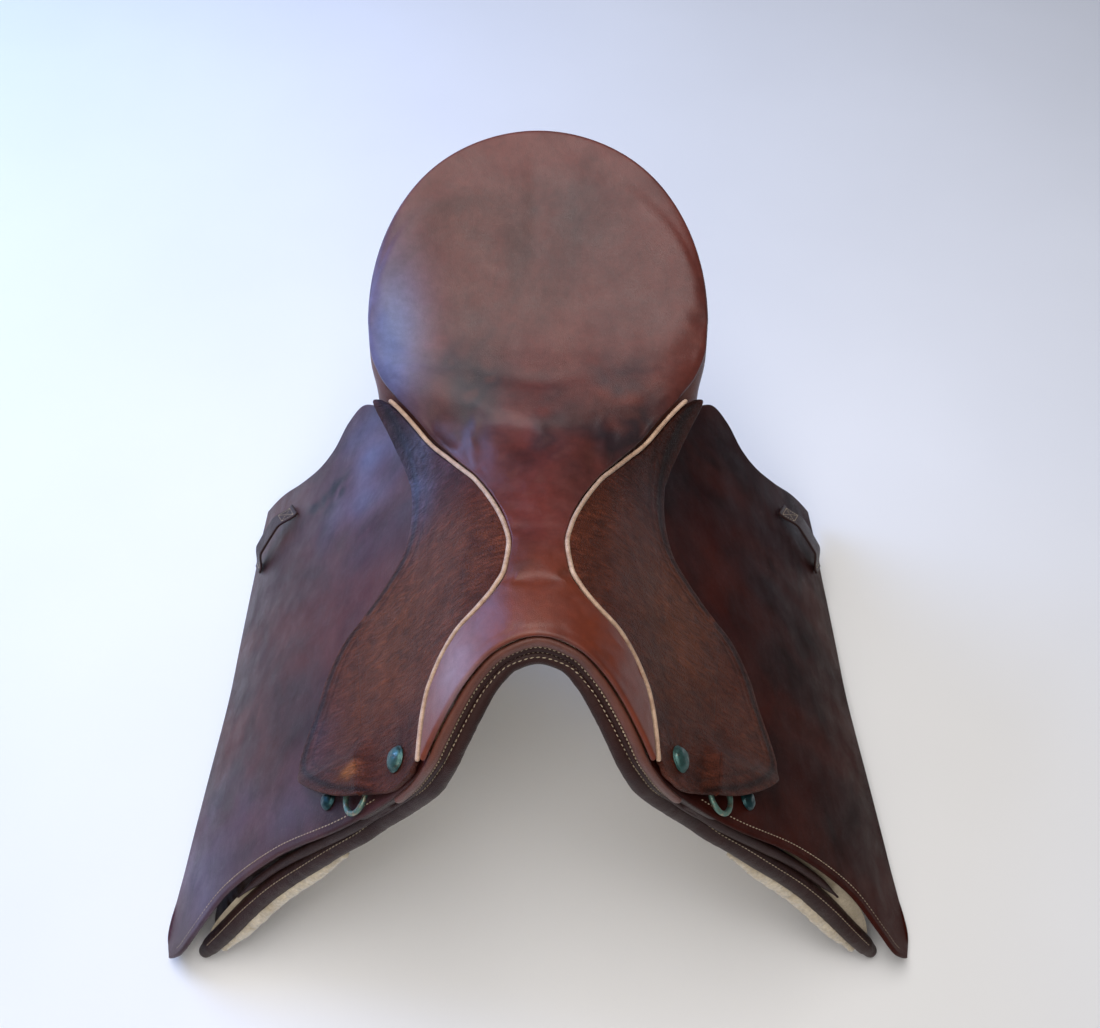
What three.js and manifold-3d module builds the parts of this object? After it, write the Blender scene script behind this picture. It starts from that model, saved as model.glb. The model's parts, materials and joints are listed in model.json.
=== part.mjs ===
// English saddle, vintage full-panel pattern, standing on the lower edges of its panels.
// Millimetres, +X to the saddle's off side, +Y to the cantle, +Z up.
// Every leather layer is a sheet bent over one outer form, given as a height over the plan.
import * as THREE from 'three';
import { mergeVertices } from 'three/addons/utils/BufferGeometryUtils.js';
import Module from 'manifold-3d';

const wasm = await Module();
wasm.setup();

// Driving dimensions
const POMMEL_HEIGHT = 335;
const SEAT_HALF_WIDTH = 121.5;
const CANTLE_CENTRE_Y = 123;
const CENTRE_Y = 1.5;
const LEATHER = 4;
const GAP = 0.6;
const TREE_TOP = -13;
const TREE_BOTTOM = -25;
const PAD_TOP = -29.5;
const PANEL_TOP = -11;
const WELT_RADIUS = 1.5;
const HINGE_FRONT = [96, -200];
const HINGE_REAR = [145, 125];
const STRAP_WIDTH = 26;
const STRAP_PITCH = 36;
const STRAP_Y = 16;
const STRAP_TOP = -5.6;
const STRAP_THICKNESS = 3.4;
const NAIL = { x: 83, y: -181, radius: 8.5, height: 4.5 };
const STUD = { x: 138, y: -182, radius: 7, height: 4 };
const DEE = { x: 115, y: -178, radius: 11, wire: 1.8 };
const BAR = { x: 106.5, front: -166, rear: -104, width: 12 };
const SLOT = { inner: 92, outer: 119, front: -172, rear: -78 };

// A smooth monotone curve through a few stations, as y(x)
function curve(stations) {
  const n = stations.length;
  const slope = (i) => (stations[i + 1][1] - stations[i][1]) / (stations[i + 1][0] - stations[i][0]);
  const tangent = stations.map((_, i) => {
    if (i === 0) return slope(0);
    if (i === n - 1) return slope(n - 2);
    const before = slope(i - 1);
    const after = slope(i);
    return before * after <= 0 ? 0 : (2 * before * after) / (before + after);
  });
  return (x) => {
    const clamped = Math.min(Math.max(x, stations[0][0]), stations[n - 1][0]);
    let i = 0;
    while (i < n - 2 && clamped > stations[i + 1][0]) i += 1;
    const width = stations[i + 1][0] - stations[i][0];
    const t = (clamped - stations[i][0]) / width;
    const a = (1 + 2 * t) * (1 - t) * (1 - t);
    const b = t * (1 - t) * (1 - t) * width;
    const c = t * t * (3 - 2 * t);
    const d = t * t * (t - 1) * width;
    return a * stations[i][1] + b * tangent[i] + c * stations[i + 1][1] + d * tangent[i + 1];
  };
}

const lerp = (a, b, t) => a + (b - a) * t;
const smooth = (t) => {
  const s = Math.min(Math.max(t, 0), 1);
  return s * s * (3 - 2 * s);
};

// Outer form: the fall from the ridge sideways, and the dip of the ridge along the seat
const sideFall = curve([[0, 0], [20, 4], [40, 19], [60, 48], [80, 84], [110, 122], [150, 164], [200, 219],
  [240, 268], [283, 332], [320, 392]]);
const ridgeDip = curve([[-260, 0], [-140, 0], [-100, 4], [-60, 13], [0, 27], [40, 33], [90, 30], [130, 15],
  [300, 15]]);
// The flap and panel hang steeper towards the rear, so their lower edges run level near the floor
const rearFall = curve([[-240, 0], [-170, 3], [-100, 8], [-30, 17], [60, 28], [155, 36], [300, 36]]);
const steeper = (x, y) => rearFall(y) * (Math.max(x - 130, 0) / 125) ** 2;
function side(x, y) {
  const across = Math.abs(x);
  return POMMEL_HEIGHT - sideFall(across) - ridgeDip(y) * (1 - smooth(across / 100)) - steeper(across, y);
}

// Seat form: a centre line and a rim with a shallow dish between them
const seatCentre = curve([[-140, 335], [-100, 331], [-60, 322], [0, 308], [40, 302], [90, 307], [150, 328],
  [200, 358], [246, 391]]);
const seatRim = curve([[0, 270], [40, 285], [68, 298], [95, 309], [123, 324], [152, 342], [186, 362],
  [215, 378], [246, 391]]);
const seatWaist = curve([[0, 70], [20, 85], [48, 100], [68, 108], [95, 119], [CANTLE_CENTRE_Y, SEAT_HALF_WIDTH]]);
function seatHalfWidth(y) {
  if (y < CANTLE_CENTRE_Y) return seatWaist(y);
  const along = (y - CANTLE_CENTRE_Y) / CANTLE_CENTRE_Y;
  return SEAT_HALF_WIDTH * Math.sqrt(Math.max(1 - along * along, 0.0004));
}
function seat(x, y) {
  const across = Math.min(Math.abs(x) / seatHalfWidth(y), 1.15);
  const dished = lerp(seatCentre(y), seatRim(y), Math.pow(across, 2.2));
  return lerp(side(x, y), dished, smooth((y + 20) / 90));
}

// The welt between seat and skirt, as a plan distance from the centre line
const weltX = curve([[-193, 66], [-186, 65.8], [-172, 65], [-154, 62.5], [-139, 55.5], [-127, 45], [-118, 32],
  [-108, 23], [-94, 17], [-73, 15], [-56, 18], [-37, 24], [-12, 35], [20, 54], [46, 76], [66, 97], [74, 108]]);

// A plan point beside the welt's line, square to it
function besideWelt(y, distance) {
  const turn = (weltX(y + 1) - weltX(y - 1)) / 2;
  const length = Math.sqrt(1 + turn * turn);
  return [weltX(y) + distance / length, y - (distance * turn) / length];
}

// Outside the welt the seat's side falls to the flap's form, more gently where it meets the rim
function skin(x, y) {
  const beyond = Math.abs(x) - weltX(y);
  const reach = 24 + 16 * smooth((y - 30) / 35);
  return lerp(seat(x, y), side(x, y), smooth(beyond / reach));
}

// A form moved along its own normal
function offset(form, distance) {
  const step = 2;
  return (x, y) => {
    const dx = (form(x + step, y) - form(x - step, y)) / (2 * step);
    const dy = (form(x, y + step) - form(x, y - step)) / (2 * step);
    const far = typeof distance === 'function' ? distance(x, y) : distance;
    return form(x, y) + far * Math.sqrt(1 + dx * dx + dy * dy);
  };
}

// A closed sheet over a plan patch, with its top and bottom on two forms
function sheet(across, along, plan, top, bottom) {
  const geometry = new THREE.BoxGeometry(1, 1, 1, across, along, 1);
  const position = geometry.attributes.position;
  for (let i = 0; i < position.count; i += 1) {
    const u = Math.round((position.getX(i) + 0.5) * 1e5) / 1e5;
    const v = Math.round((position.getY(i) + 0.5) * 1e5) / 1e5;
    const [x, y] = plan(u, v);
    const z = position.getZ(i) > 0 ? top(x, y, u, v) : bottom(x, y, u, v);
    position.setXYZ(i, x, y, z);
  }
  return geometry;
}

// The plan patch between four edges, each given as a function of 0..1
function patch(inner, outer, front, rear) {
  const corners = [inner(0), inner(1), outer(0), outer(1)];
  return (u, v) => [0, 1].map((k) => lerp(inner(v)[k], outer(v)[k], u) + lerp(front(u)[k], rear(u)[k], v)
    - lerp(lerp(corners[0][k], corners[2][k], u), lerp(corners[1][k], corners[3][k], u), v));
}

// A smooth plan curve through points, as a function of 0..1
function through(points) {
  const spline = new THREE.CatmullRomCurve3(points.map(([x, y]) => new THREE.Vector3(x, y, 0)), false, 'centripetal');
  return (t) => {
    const p = spline.getPointAt(t);
    return [p.x, p.y];
  };
}
const straight = (a, b) => (t) => [lerp(a[0], b[0], t), lerp(a[1], b[1], t)];

function merged(geometry) {
  const bare = geometry.clone();
  bare.deleteAttribute('normal');
  bare.deleteAttribute('uv');
  return mergeVertices(bare, 1e-4);
}

function mirrored(geometry) {
  const copy = merged(geometry);
  const position = copy.attributes.position;
  for (let i = 0; i < position.count; i += 1) position.setX(i, -position.getX(i));
  const index = copy.index;
  for (let i = 0; i < index.count; i += 3) {
    const first = index.getX(i);
    index.setX(i, index.getX(i + 1));
    index.setX(i + 1, first);
  }
  return copy;
}

function solid(geometry) {
  const bare = merged(geometry);
  const vertProperties = new Float32Array(bare.attributes.position.array);
  const triVerts = new Uint32Array(bare.index.array);
  return new wasm.Manifold(new wasm.Mesh({ numProp: 3, vertProperties, triVerts }));
}

function fromSolid(body) {
  const mesh = body.getMesh();
  const geometry = new THREE.BufferGeometry();
  geometry.setAttribute('position', new THREE.BufferAttribute(new Float32Array(mesh.vertProperties), 3));
  geometry.setIndex(new THREE.BufferAttribute(new Uint32Array(mesh.triVerts), 1));
  return geometry;
}

function block(x0, x1, y0, y1, z0, z1) {
  const geometry = new THREE.BoxGeometry(x1 - x0, y1 - y0, z1 - z0);
  return geometry.translate((x0 + x1) / 2, (y0 + y1) / 2, (z0 + z1) / 2);
}

// A closed body through sections with equal corner counts, capped at both ends
function loft(sections) {
  const corners = sections[0].length;
  const index = [];
  for (let i = 0; i + 1 < sections.length; i += 1) {
    for (let k = 0; k < corners; k += 1) {
      const a = i * corners + k;
      const b = i * corners + ((k + 1) % corners);
      index.push(a, a + corners, b, b, a + corners, b + corners);
    }
  }
  const last = (sections.length - 1) * corners;
  for (let k = 1; k + 1 < corners; k += 1) index.push(0, k, k + 1, last, last + k + 1, last + k);
  const geometry = new THREE.BufferGeometry();
  const position = sections.flat().flatMap((p) => [p.x, p.y, p.z]);
  geometry.setAttribute('position', new THREE.BufferAttribute(new Float32Array(position), 3));
  geometry.setIndex(index);
  return geometry;
}

// A smooth line in space through stations, as a function of 0..1
function line(points) {
  const spline = new THREE.CatmullRomCurve3(points.map((p) => new THREE.Vector3(...p)), false, 'centripetal');
  return (t) => spline.getPoint(t);
}

// A round cord along a line, with its radius as a function of 0..1
function cord(path, radiusAt, sides, steps) {
  const sections = [];
  for (let i = 0; i <= steps; i += 1) {
    const t = i / steps;
    const ahead = path(Math.min(t + 0.002, 1)).sub(path(Math.max(t - 0.002, 0))).normalize();
    const right = new THREE.Vector3().crossVectors(ahead, new THREE.Vector3(0.1, 0.2, 1)).normalize();
    const up = new THREE.Vector3().crossVectors(right, ahead);
    const section = [];
    for (let k = 0; k < sides; k += 1) {
      const angle = (2 * Math.PI * k) / sides;
      const reach = radiusAt(t);
      section.push(path(t).addScaledVector(right, reach * Math.cos(angle)).addScaledVector(up, reach * Math.sin(angle)));
    }
    sections.push(section);
  }
  return loft(sections);
}

// The frame of the outer form at a plan point: tangent down the slope, along the saddle, and normal
function frameAt(x, y, lift) {
  const step = 3;
  const fall = (side(x + step, y) - side(x - step, y)) / (2 * step);
  const down = new THREE.Vector3(1, 0, fall).normalize();
  const normal = new THREE.Vector3(-fall, 0, 1).normalize();
  const matrix = new THREE.Matrix4().makeBasis(down, new THREE.Vector3(0, 1, 0), normal);
  return matrix.setPosition(x + normal.x * lift, y, side(x, y) + normal.z * lift);
}

// Materials
const paint = (color, roughness, metalness) => () => new THREE.MeshStandardMaterial({ color, roughness, metalness });
const seatLeather = paint(0x4e2a22, 0.4, 0);
const flapLeather = paint(0x431f18, 0.42, 0);
const skirtLeather = paint(0x57301f, 0.5, 0);
const darkLeather = paint(0x241410, 0.5, 0);
const strapLeather = paint(0x5a3522, 0.6, 0);
const piping = paint(0xc4a184, 0.6, 0);
const wool = paint(0xcbb792, 0.95, 0);
const canvas = paint(0xb7a27c, 0.9, 0);
const beech = paint(0xa9825a, 0.7, 0);
const steel = paint(0x6f7274, 0.4, 0.9);
const nickel = paint(0x3d8a86, 0.45, 0.7);
const foam = paint(0xcdb878, 0.95, 0);

const saddle = new THREE.Group();
saddle.position.y = -CENTRE_Y;
function add(name, geometry, material) {
  const mesh = new THREE.Mesh(merged(geometry), material());
  mesh.name = name;
  saddle.add(mesh);
}
function addPair(name, geometry, material) {
  add(`${name}_left`, mirrored(geometry), material);
  add(`${name}_right`, geometry, material);
}

// Seat: the leather, its foam and its webs lie between the two welts and the cantle's rim
const rimX = curve([[66, 97], [86, 112], [104, 119.5], [CANTLE_CENTRE_Y, SEAT_HALF_WIDTH]]);
const seatEdgeY = curve([[0, -193], [0.08, -156], [0.17, -127], [0.24, -112], [0.31, -94], [0.37, -73],
  [0.43, -55], [0.5, -34], [0.58, -8], [0.66, 22], [0.74, 48], [0.8, 67], [0.87, 86], [0.94, 104], [1, 123]]);
const seatMidY = curve([[0, -141], [0.17, -116], [0.31, -92], [0.43, -54], [0.58, 2], [0.74, 75], [0.87, 150],
  [0.94, 203], [1, 246]]);
function seatEdgeX(along) {
  const y = seatEdgeY(along);
  return y < 66 ? weltX(y) : rimX(y);
}
function seatPlan(inset) {
  return (u, v) => {
    const along = lerp(inset / 260, 1 - inset / 90, v);
    const s = 2 * u - 1;
    const across = Math.sin((s * Math.PI) / 2);
    const x = across * Math.max(seatEdgeX(along) - inset, 4);
    const pointed = Math.pow(Math.abs(across), 2.05);
    const round = 1 - Math.sqrt(Math.max(1 - across * across, 0));
    const bow = lerp(pointed, round, smooth((along - 0.3) / 0.5));
    return [x, lerp(seatMidY(along), seatEdgeY(along), bow)];
  };
}
function rimRoll(u, v) {
  const edge = Math.abs(2 * u - 1);
  const sides = Math.pow(edge, 10) * smooth((v - 0.75) / 0.12);
  return 9 * Math.max(sides, Math.pow(v, 28));
}
const seatTop = offset(seat, 5);
const seatUnder = offset(seat, 1);
add('seat_leather', sheet(12, 24, seatPlan(0), (x, y, u, v) => seatTop(x, y) - rimRoll(u, v),
  (x, y, u, v) => seatUnder(x, y) - rimRoll(u, v)), seatLeather);
add('seat_foam', sheet(10, 18, seatPlan(11), offset(seat, -1.4), offset(seat, -7)), foam);

function strip(x0, x1, y0, y1, form, top, bottom, across, along) {
  const plan = (u, v) => [lerp(x0, x1, u), lerp(y0, y1, v)];
  return sheet(across, along, plan, (x, y) => form(x, y) + top, (x, y) => form(x, y) + bottom);
}
addPair('seat_web', strip(3, 12, -96, 205, seat, -8.6, -10, 1, 14), canvas);
['front', 'rear'].forEach((name, i) => {
  const y = STRAP_Y - 32 + 50 * i;
  add(`girth_web_${name}`, strip(-52, 52, y - 15, y + 15, skin, -10.8, -12.2, 12, 2), canvas);
});

// Tree: beech head, rails and cantle with a steel gullet plate and steel springs
const headFront = curve([[0, -139], [22, -145], [28, -149], [38, -156.5], [50, -167], [60, -177], [68, -185],
  [80, -191], [98, -192]]);
const headRear = curve([[0, -112], [50, -124], [98, -150]]);
function headSheet(reach, top, bottom, forward, rearward, across) {
  const plan = (u, v) => {
    const x = lerp(-reach, reach, u);
    return [x, lerp(headFront(Math.abs(x)) + forward, headRear(Math.abs(x)) + rearward, v)];
  };
  return sheet(across, 2, plan, offset(side, top), offset(side, bottom));
}
add('tree_head', headSheet(97, TREE_TOP, TREE_BOTTOM, 8, 0, 22), beech);
add('gullet_plate', headSheet(90, TREE_BOTTOM - GAP, TREE_BOTTOM - GAP - 2.4, 12, -4, 20), steel);
const railPlan = patch(straight([30, -108], [38, 95]), straight([72, -126], [76, 95]),
  straight([30, -108], [72, -126]), straight([38, 95], [76, 95]));
// Under the cantle, inside the flap's rear corner, tree and pads rise with the seat; elsewhere they follow the side
function under(depth, rearDepth) {
  const follow = offset(side, depth);
  return (x, y) => {
    const inside = 68 + 0.69 * Math.max(y - 60, 0);
    const rise = smooth((y + 10) / 110) * smooth((inside - x) / 34);
    return lerp(follow(x, y), seat(x, y) + rearDepth, rise);
  };
}
addPair('tree_rail', sheet(4, 12, railPlan, under(TREE_TOP, -14.5), under(TREE_BOTTOM, -27)), beech);
const cantlePlan = (u, v) => {
  const x = lerp(-106, 106, u);
  const rear = CANTLE_CENTRE_Y + 112 * Math.sqrt(Math.max(1 - (x / 107.5) ** 2, 0.02));
  return [x, lerp(97, rear, v)];
};
add('tree_cantle', sheet(14, 6, cantlePlan, (x, y) => seat(x, y) + TREE_TOP - 1.5,
  (x, y) => seat(x, y) + TREE_TOP - 14), beech);
addPair('tree_spring', strip(15, 26, -104, 90, seat, TREE_TOP - 1.2, TREE_TOP - 2.8, 1, 12), steel);

// Cantle facing: the upright leather band under the rim
const facingPlan = (u, v) => {
  const angle = lerp(-0.4, Math.PI + 0.4, u);
  const inset = lerp(1, 4.5, v);
  const y = CANTLE_CENTRE_Y + (SEAT_HALF_WIDTH - inset + 1) * Math.sin(angle);
  if (y < CANTLE_CENTRE_Y) return [Math.sign(Math.cos(angle)) * (rimX(y) - inset), y];
  return [(SEAT_HALF_WIDTH - inset) * Math.cos(angle), y];
};
const rimForm = (x, y) => seatRim(Math.min(y, 246));
add('cantle_facing', sheet(32, 1, facingPlan, (x, y) => rimForm(x, y) - 9, (x, y) => rimForm(x, y) - 34), darkLeather);

// Welts: thin piping set in the seam, from the nail to the seat's rim
const weltStations = [-191, -180, -168, -154, -140, -128, -118, -108, -94, -75, -56, -36, -12, 14, 34, 50, 64, 72];
const weltForm = offset(skin, 4);
const weltPath = weltStations.map((station) => {
  const [x, y] = besideWelt(station, 2.4);
  return [x, y, weltForm(x, y)];
});
addPair('welt', cord(line(weltPath), () => WELT_RADIUS, 6, 34), piping);

// Hinge line of flap and skirt
const hingeX = (y) => lerp(HINGE_FRONT[0], HINGE_REAR[0], (y - HINGE_FRONT[1]) / (HINGE_REAR[1] - HINGE_FRONT[1]));

// Flap: front edge, lower edge and rear edge in plan
const flapFront = through([[96.8, -199], [133, -203], [179, -203], [223, -213], [250, -231], [265, -240], [276, -239]]);
const flapLower = through([[276, -239], [281, -222], [274, -168], [266, -105], [258, -32], [258, 15], [256, 81],
  [255, 130], [251, 157]]);
const flapRear = through([[145.8, 156], [158, 150], [170, 134], [184, 128], [205, 133], [228, 146], [251, 157]]);
const flapInner = straight([96.8, -199], [145.8, 156]);
const flapPlan = patch(flapInner, flapLower, flapFront, flapRear);
const slotCutter = solid(block(SLOT.inner, SLOT.outer, SLOT.front, SLOT.rear, 150, 300));
function clearOfFloor(form) {
  return (x, y) => Math.max(form(x, y), 3);
}
const flapSheet = sheet(11, 15, flapPlan, (x, y) => Math.max(offset(side, -GAP)(x, y), 3 + LEATHER * 1.3),
  clearOfFloor(offset(side, -GAP - LEATHER)));
addPair('flap', fromSolid(solid(flapSheet).subtract(slotCutter)), flapLeather);
const flapTopPlan = patch(straight([68.5, -193], [80, 60]), straight([95.8, -198.5], [144.8, 154]),
  straight([68.5, -193], [95.8, -198.5]), straight([80, 60], [144.8, 154]));
const flapTop = sheet(4, 12, flapTopPlan, offset(side, -GAP), offset(side, -GAP - LEATHER));
addPair('flap_top', fromSolid(solid(flapTop).subtract(slotCutter)), flapLeather);

// Skirt: the free lower part stands a little proud over the dee at its front lip
const lipLift = (x, y) => 7 * smooth((-150 - y) / 18) * smooth((Math.abs(x) - hingeX(y)) / 10);
const skirtTop = offset(side, (x, y) => GAP + LEATHER + lipLift(x, y));
const skirtBottom = offset(side, (x, y) => GAP + lipLift(x, y));
const skirtOuter = through([[99, -193.5], [122, -187], [142, -175], [155, -163], [161, -150], [158, -134], [151, -112],
  [144, -88], [134, -70], [121, -57]]);
const skirtPlan = (u, v) => {
  const inner = [hingeX(lerp(-192.5, -57.5, v)) + 1, lerp(-192.5, -57.5, v)];
  const outer = skirtOuter(v);
  return [lerp(inner[0], outer[0], u), lerp(inner[1], outer[1], u)];
};
addPair('skirt', sheet(6, 14, skirtPlan, skirtTop, skirtBottom), skirtLeather);
const skirtTopInner = (v) => besideWelt(lerp(-190, 74, v), 5.4);
const skirtTopOuter = through([[75, -197], [86, -199], [95, -194], [hingeX(-150) - 2, -150], [hingeX(-100) - 2, -100],
  [hingeX(-58) - 3, -58], [104, -44], [91, -28], [86, -8], [86, 16], [90, 38], [100, 54], [114, 72]]);
const skirtTopPlan = (u, v) => {
  const inner = skirtTopInner(v);
  const outer = skirtTopOuter(v);
  return [lerp(inner[0], outer[0], u), lerp(inner[1], outer[1], u)];
};
addPair('skirt_top', sheet(5, 20, skirtTopPlan, offset(skin, GAP + LEATHER), offset(skin, GAP)), skirtLeather);

// Domed saddle nail and point stud
function dome(radius, height) {
  const profile = [new THREE.Vector2(0, 0), new THREE.Vector2(radius, 0)];
  for (let i = 1; i < 5; i += 1) {
    const angle = (i * Math.PI) / 10;
    profile.push(new THREE.Vector2(radius * Math.cos(angle), height * (0.25 + 0.75 * Math.sin(angle))));
  }
  profile.push(new THREE.Vector2(0, height));
  return new THREE.LatheGeometry(profile, 14).rotateX(Math.PI / 2);
}
addPair('saddle_nail', dome(NAIL.radius, NAIL.height).applyMatrix4(frameAt(NAIL.x, NAIL.y, 5.6)), nickel);
addPair('point_stud', dome(STUD.radius, STUD.height).applyMatrix4(frameAt(STUD.x, STUD.y, 0)), nickel);

// Dee: a ring whose rear run turns under a leather chape
const deeRing = new THREE.TorusGeometry(DEE.radius, DEE.wire, 6, 16).translate(0, -DEE.radius, 0);
addPair('dee_ring', deeRing.applyMatrix4(frameAt(DEE.x, DEE.y, 2.2)), nickel);
const chapePlan = (u, v) => [lerp(DEE.x - 5, DEE.x + 5, u), lerp(-181.5, -166, v)];
const chapeLift = (y) => 0.3 + 4.2 * smooth((-170 - y) / 5);
addPair('dee_chape', sheet(1, 6, chapePlan, offset(side, (x, y) => chapeLift(y) + 1.1),
  offset(side, (x, y) => chapeLift(y))), darkLeather);

// Keeper: a strap stitched down at both ends near the flap's rear edge
const keeperEnds = [[206, 106], [246, 86]];
const keeperPlan = (u, v) => {
  const [a, b] = keeperEnds;
  const wide = lerp(-9, 9, u);
  return [lerp(a[0], b[0], v) - wide * 0.43, lerp(a[1], b[1], v) - wide * 0.9];
};
const keeperLift = (v) => 0.2 + 8 * smooth(Math.min(v, 1 - v) / 0.3);
addPair('keeper', sheet(2, 12, keeperPlan, (x, y, u, v) => offset(side, keeperLift(v) + 2.4)(x, y),
  (x, y, u, v) => offset(side, keeperLift(v))(x, y)), darkLeather);

// Stirrup bar: a plate on the tree, an open arm over it, and a catch that turns up at its rear end
const barFrame = frameAt(BAR.x, 0, 0);
const barHalf = BAR.width / 2;
const plate = solid(block(-barHalf, barHalf, BAR.front - 4, BAR.rear + 8, -12.4, -10.2));
const arm = solid(block(-barHalf, barHalf, BAR.front, BAR.rear, -4.8, -1));
const root = solid(block(-barHalf, barHalf, BAR.front, BAR.front + 10, -11, -2));
const PIN = { y: BAR.rear + 5, radius: 1.5 };
const hole = solid(new THREE.CylinderGeometry(PIN.radius + 0.2, PIN.radius + 0.2, 8, 14)
  .rotateX(Math.PI / 2).translate(0, PIN.y, -3));
const knuckle = solid(block(-barHalf, barHalf, BAR.rear - 1, BAR.rear + 10, -4.8, -3.4)).subtract(hole);
const LEVER = { half: 4.2, length: 14, low: -3, high: -0.9 };
const leverNose = solid(new THREE.CylinderGeometry(LEVER.half, LEVER.half, LEVER.high - LEVER.low, 24)
  .rotateX(Math.PI / 2).translate(0, PIN.y, (LEVER.high + LEVER.low) / 2));
const leverArm = solid(block(-LEVER.half, LEVER.half, PIN.y, PIN.y + LEVER.length, LEVER.low, LEVER.high));
const lever = leverNose.add(leverArm).subtract(hole);
addPair('stirrup_bar', fromSolid(plate.add(arm).add(root).add(knuckle)).applyMatrix4(barFrame), steel);
addPair('bar_catch', fromSolid(lever).applyMatrix4(barFrame), steel);
addPair('catch_pin', new THREE.CylinderGeometry(PIN.radius, PIN.radius, 4, 14).rotateX(Math.PI / 2)
  .translate(0, PIN.y, -2.8).applyMatrix4(barFrame), steel);

// Girth straps: three billets a side, hanging between flap and panel
[-1, 0, 1].forEach((place, i) => {
  const y = STRAP_Y + place * STRAP_PITCH;
  const half = STRAP_WIDTH / 2;
  const plan = (u, v) => {
    const x = lerp(70, 232, v);
    const tip = half * (1 - 0.75 * smooth((v - 0.93) / 0.07));
    return [x, y + lerp(tip, -tip, u)];
  };
  addPair(`girth_strap_${i + 1}`, sheet(2, 16, plan, offset(side, STRAP_TOP), offset(side, STRAP_TOP - STRAP_THICKNESS)),
    strapLeather);
});

// Panel: a bearing pad under the tree and a flat part under the flap, standing on its lower edge
const panelFall = curve([[100, 126], [150, 182], [190, 226], [220, 268], [240, 312], [249, 335], [252, 336]]);
const panelForm = (x, y) => Math.max(POMMEL_HEIGHT - panelFall(x) - steeper(x, y), 8);
const panelInner = curve([[100, 160], [150, 220], [190, 270], [215, 312], [226, 335], [252, 336]]);
const panelBack = (x, y) => Math.max(POMMEL_HEIGHT - panelInner(x) - steeper(x, y), 0);
const panelFlapPlan = patch(straight([112, -186.5], [112, 128]), through([[248, -223], [248, -60], [248, 140]]),
  through([[112, -186.5], [160, -193], [205, -205], [248, -223]]), through([[112, 128], [160, 128], [205, 130], [248, 140]]));
addPair('panel_flap', sheet(10, 8, panelFlapPlan, panelForm, panelBack), darkLeather);
const archFront = curve([[0, -142], [22, -148.5], [28, -152], [38, -159.5], [50, -171.5], [60, -184], [68, -190],
  [94, -196]]);
const padPlan = (u, v) => {
  const y = lerp(-140, 232, v);
  const inner = 24 + 6 * smooth((y - 100) / 100);
  const round = Math.sqrt(Math.max(1 - Math.max((y - CANTLE_CENTRE_Y) / 116, 0) ** 2, 0.05));
  const outer = Math.max(111.4 * round, inner + 20);
  const x = lerp(inner, outer, u);
  return [x, y + (archFront(x) + 26 - y) * (1 - v) ** 6];
};
const padTop = under(PAD_TOP, -36);
const padDepth = (u, v) => 12 + 26 * Math.sin(Math.PI * lerp(0.12, 0.88, u)) ** 0.7
  * Math.sin(Math.PI * lerp(0.1, 0.92, v)) ** 0.5;
addPair('panel_pad', sheet(8, 16, padPlan, padTop, (x, y, u, v) => padTop(x, y) - padDepth(u, v)), wool);
const liningPlan = patch(straight([118, -178], [118, 118]), through([[206, -197], [206, -60], [206, 118]]),
  through([[118, -178], [160, -185], [206, -197]]), through([[118, 118], [160, 118], [206, 118]]));
addPair('lining', sheet(6, 8, liningPlan, (x, y) => panelBack(x, y) - 1.4, (x, y) => panelBack(x, y) - 6.6), wool);

// Arch: facing, stitched binding and the panel's rolled front edge lie side by side, from the seat's front edge
// down to the roll, round the pommel and on below the flap's front edge
const seam = line([[0, -142, 335.5], [22, -147.5, 330], [38, -158.5, 317.5], [50, -170.5, 302.5], [60, -184, 287],
  [67, -194, 273], [80, -200, 248], [97, -202.5, 223], [115, -204, 201], [133, -205, 182], [155, -205, 158]]);
const rollStations = [[0, -143.9, 315.8], [14.8, -147.4, 313.7], [27, -157, 305.5], [38.1, -170.8, 291.1],
  [47.3, -182.9, 275.1], [54, -189.5, 261], [66, -194, 237], [80, -193.7, 215], [98.3, -194.2, 190],
  [114.2, -197.9, 172], [131.7, -200.6, 154]];
const rollStart = line(rollStations);
// A band between two shares of the way from seam to roll, on both sides of the middle
function archBand(reach, upper, lower, thickness, steps) {
  const sections = [];
  for (let i = -steps; i <= steps; i += 1) {
    const t = (Math.abs(i) / steps) * reach;
    const mirror = new THREE.Vector3(i < 0 ? -1 : 1, 1, 1);
    const top = seam(t).multiply(mirror);
    const bottom = rollStart(t).multiply(mirror);
    const ahead = seam(t + 0.01).multiply(mirror).sub(top).multiplyScalar(i < 0 ? -1 : 1);
    const out = new THREE.Vector3().crossVectors(bottom.clone().sub(top), ahead).normalize();
    const crowd = 1 - 0.16 * smooth((t - 0.4) / 0.2);
    const corner = (share, side) => top.clone().lerp(bottom, share * crowd).addScaledVector(out, side * thickness);
    sections.push([corner(upper, -0.5), corner(lower, -0.5), corner(lower, 0.5), corner(upper, 0.5)]);
  }
  return loft(sections);
}
add('arch_facing', archBand(0.65, 0.07, 0.42, 3.2, 20), seatLeather);
add('arch_binding', archBand(0.78, 0.46, 0.67, 3.2, 24), darkLeather);
const rollPath = line([[1.5, -144, 315.8], ...rollStations.slice(1), [153, -204, 130], [180, -209, 100], [205, -217, 70],
  [226, -225.5, 42], [242, -231, 20], [249, -233.1, 9.5]]);
const rollRadius = (t) => 5 + 3 * smooth((t - 0.25) / 0.2) - smooth((t - 0.85) / 0.15);
addPair('front_roll', cord(rollPath, rollRadius, 8, 34), darkLeather);

export default saddle;
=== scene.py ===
"""English saddle: the looks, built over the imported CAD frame.

The forms below are the CAD model's own, in millimetres with the pommel arch at y = -140. `place` turns them into
the row frame in metres. The near (left) side has sign -1 and the off (right) side +1.
"""
import json
import math

import bmesh
import bpy
import numpy as np
from mathutils import Matrix, Vector, noise

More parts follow.
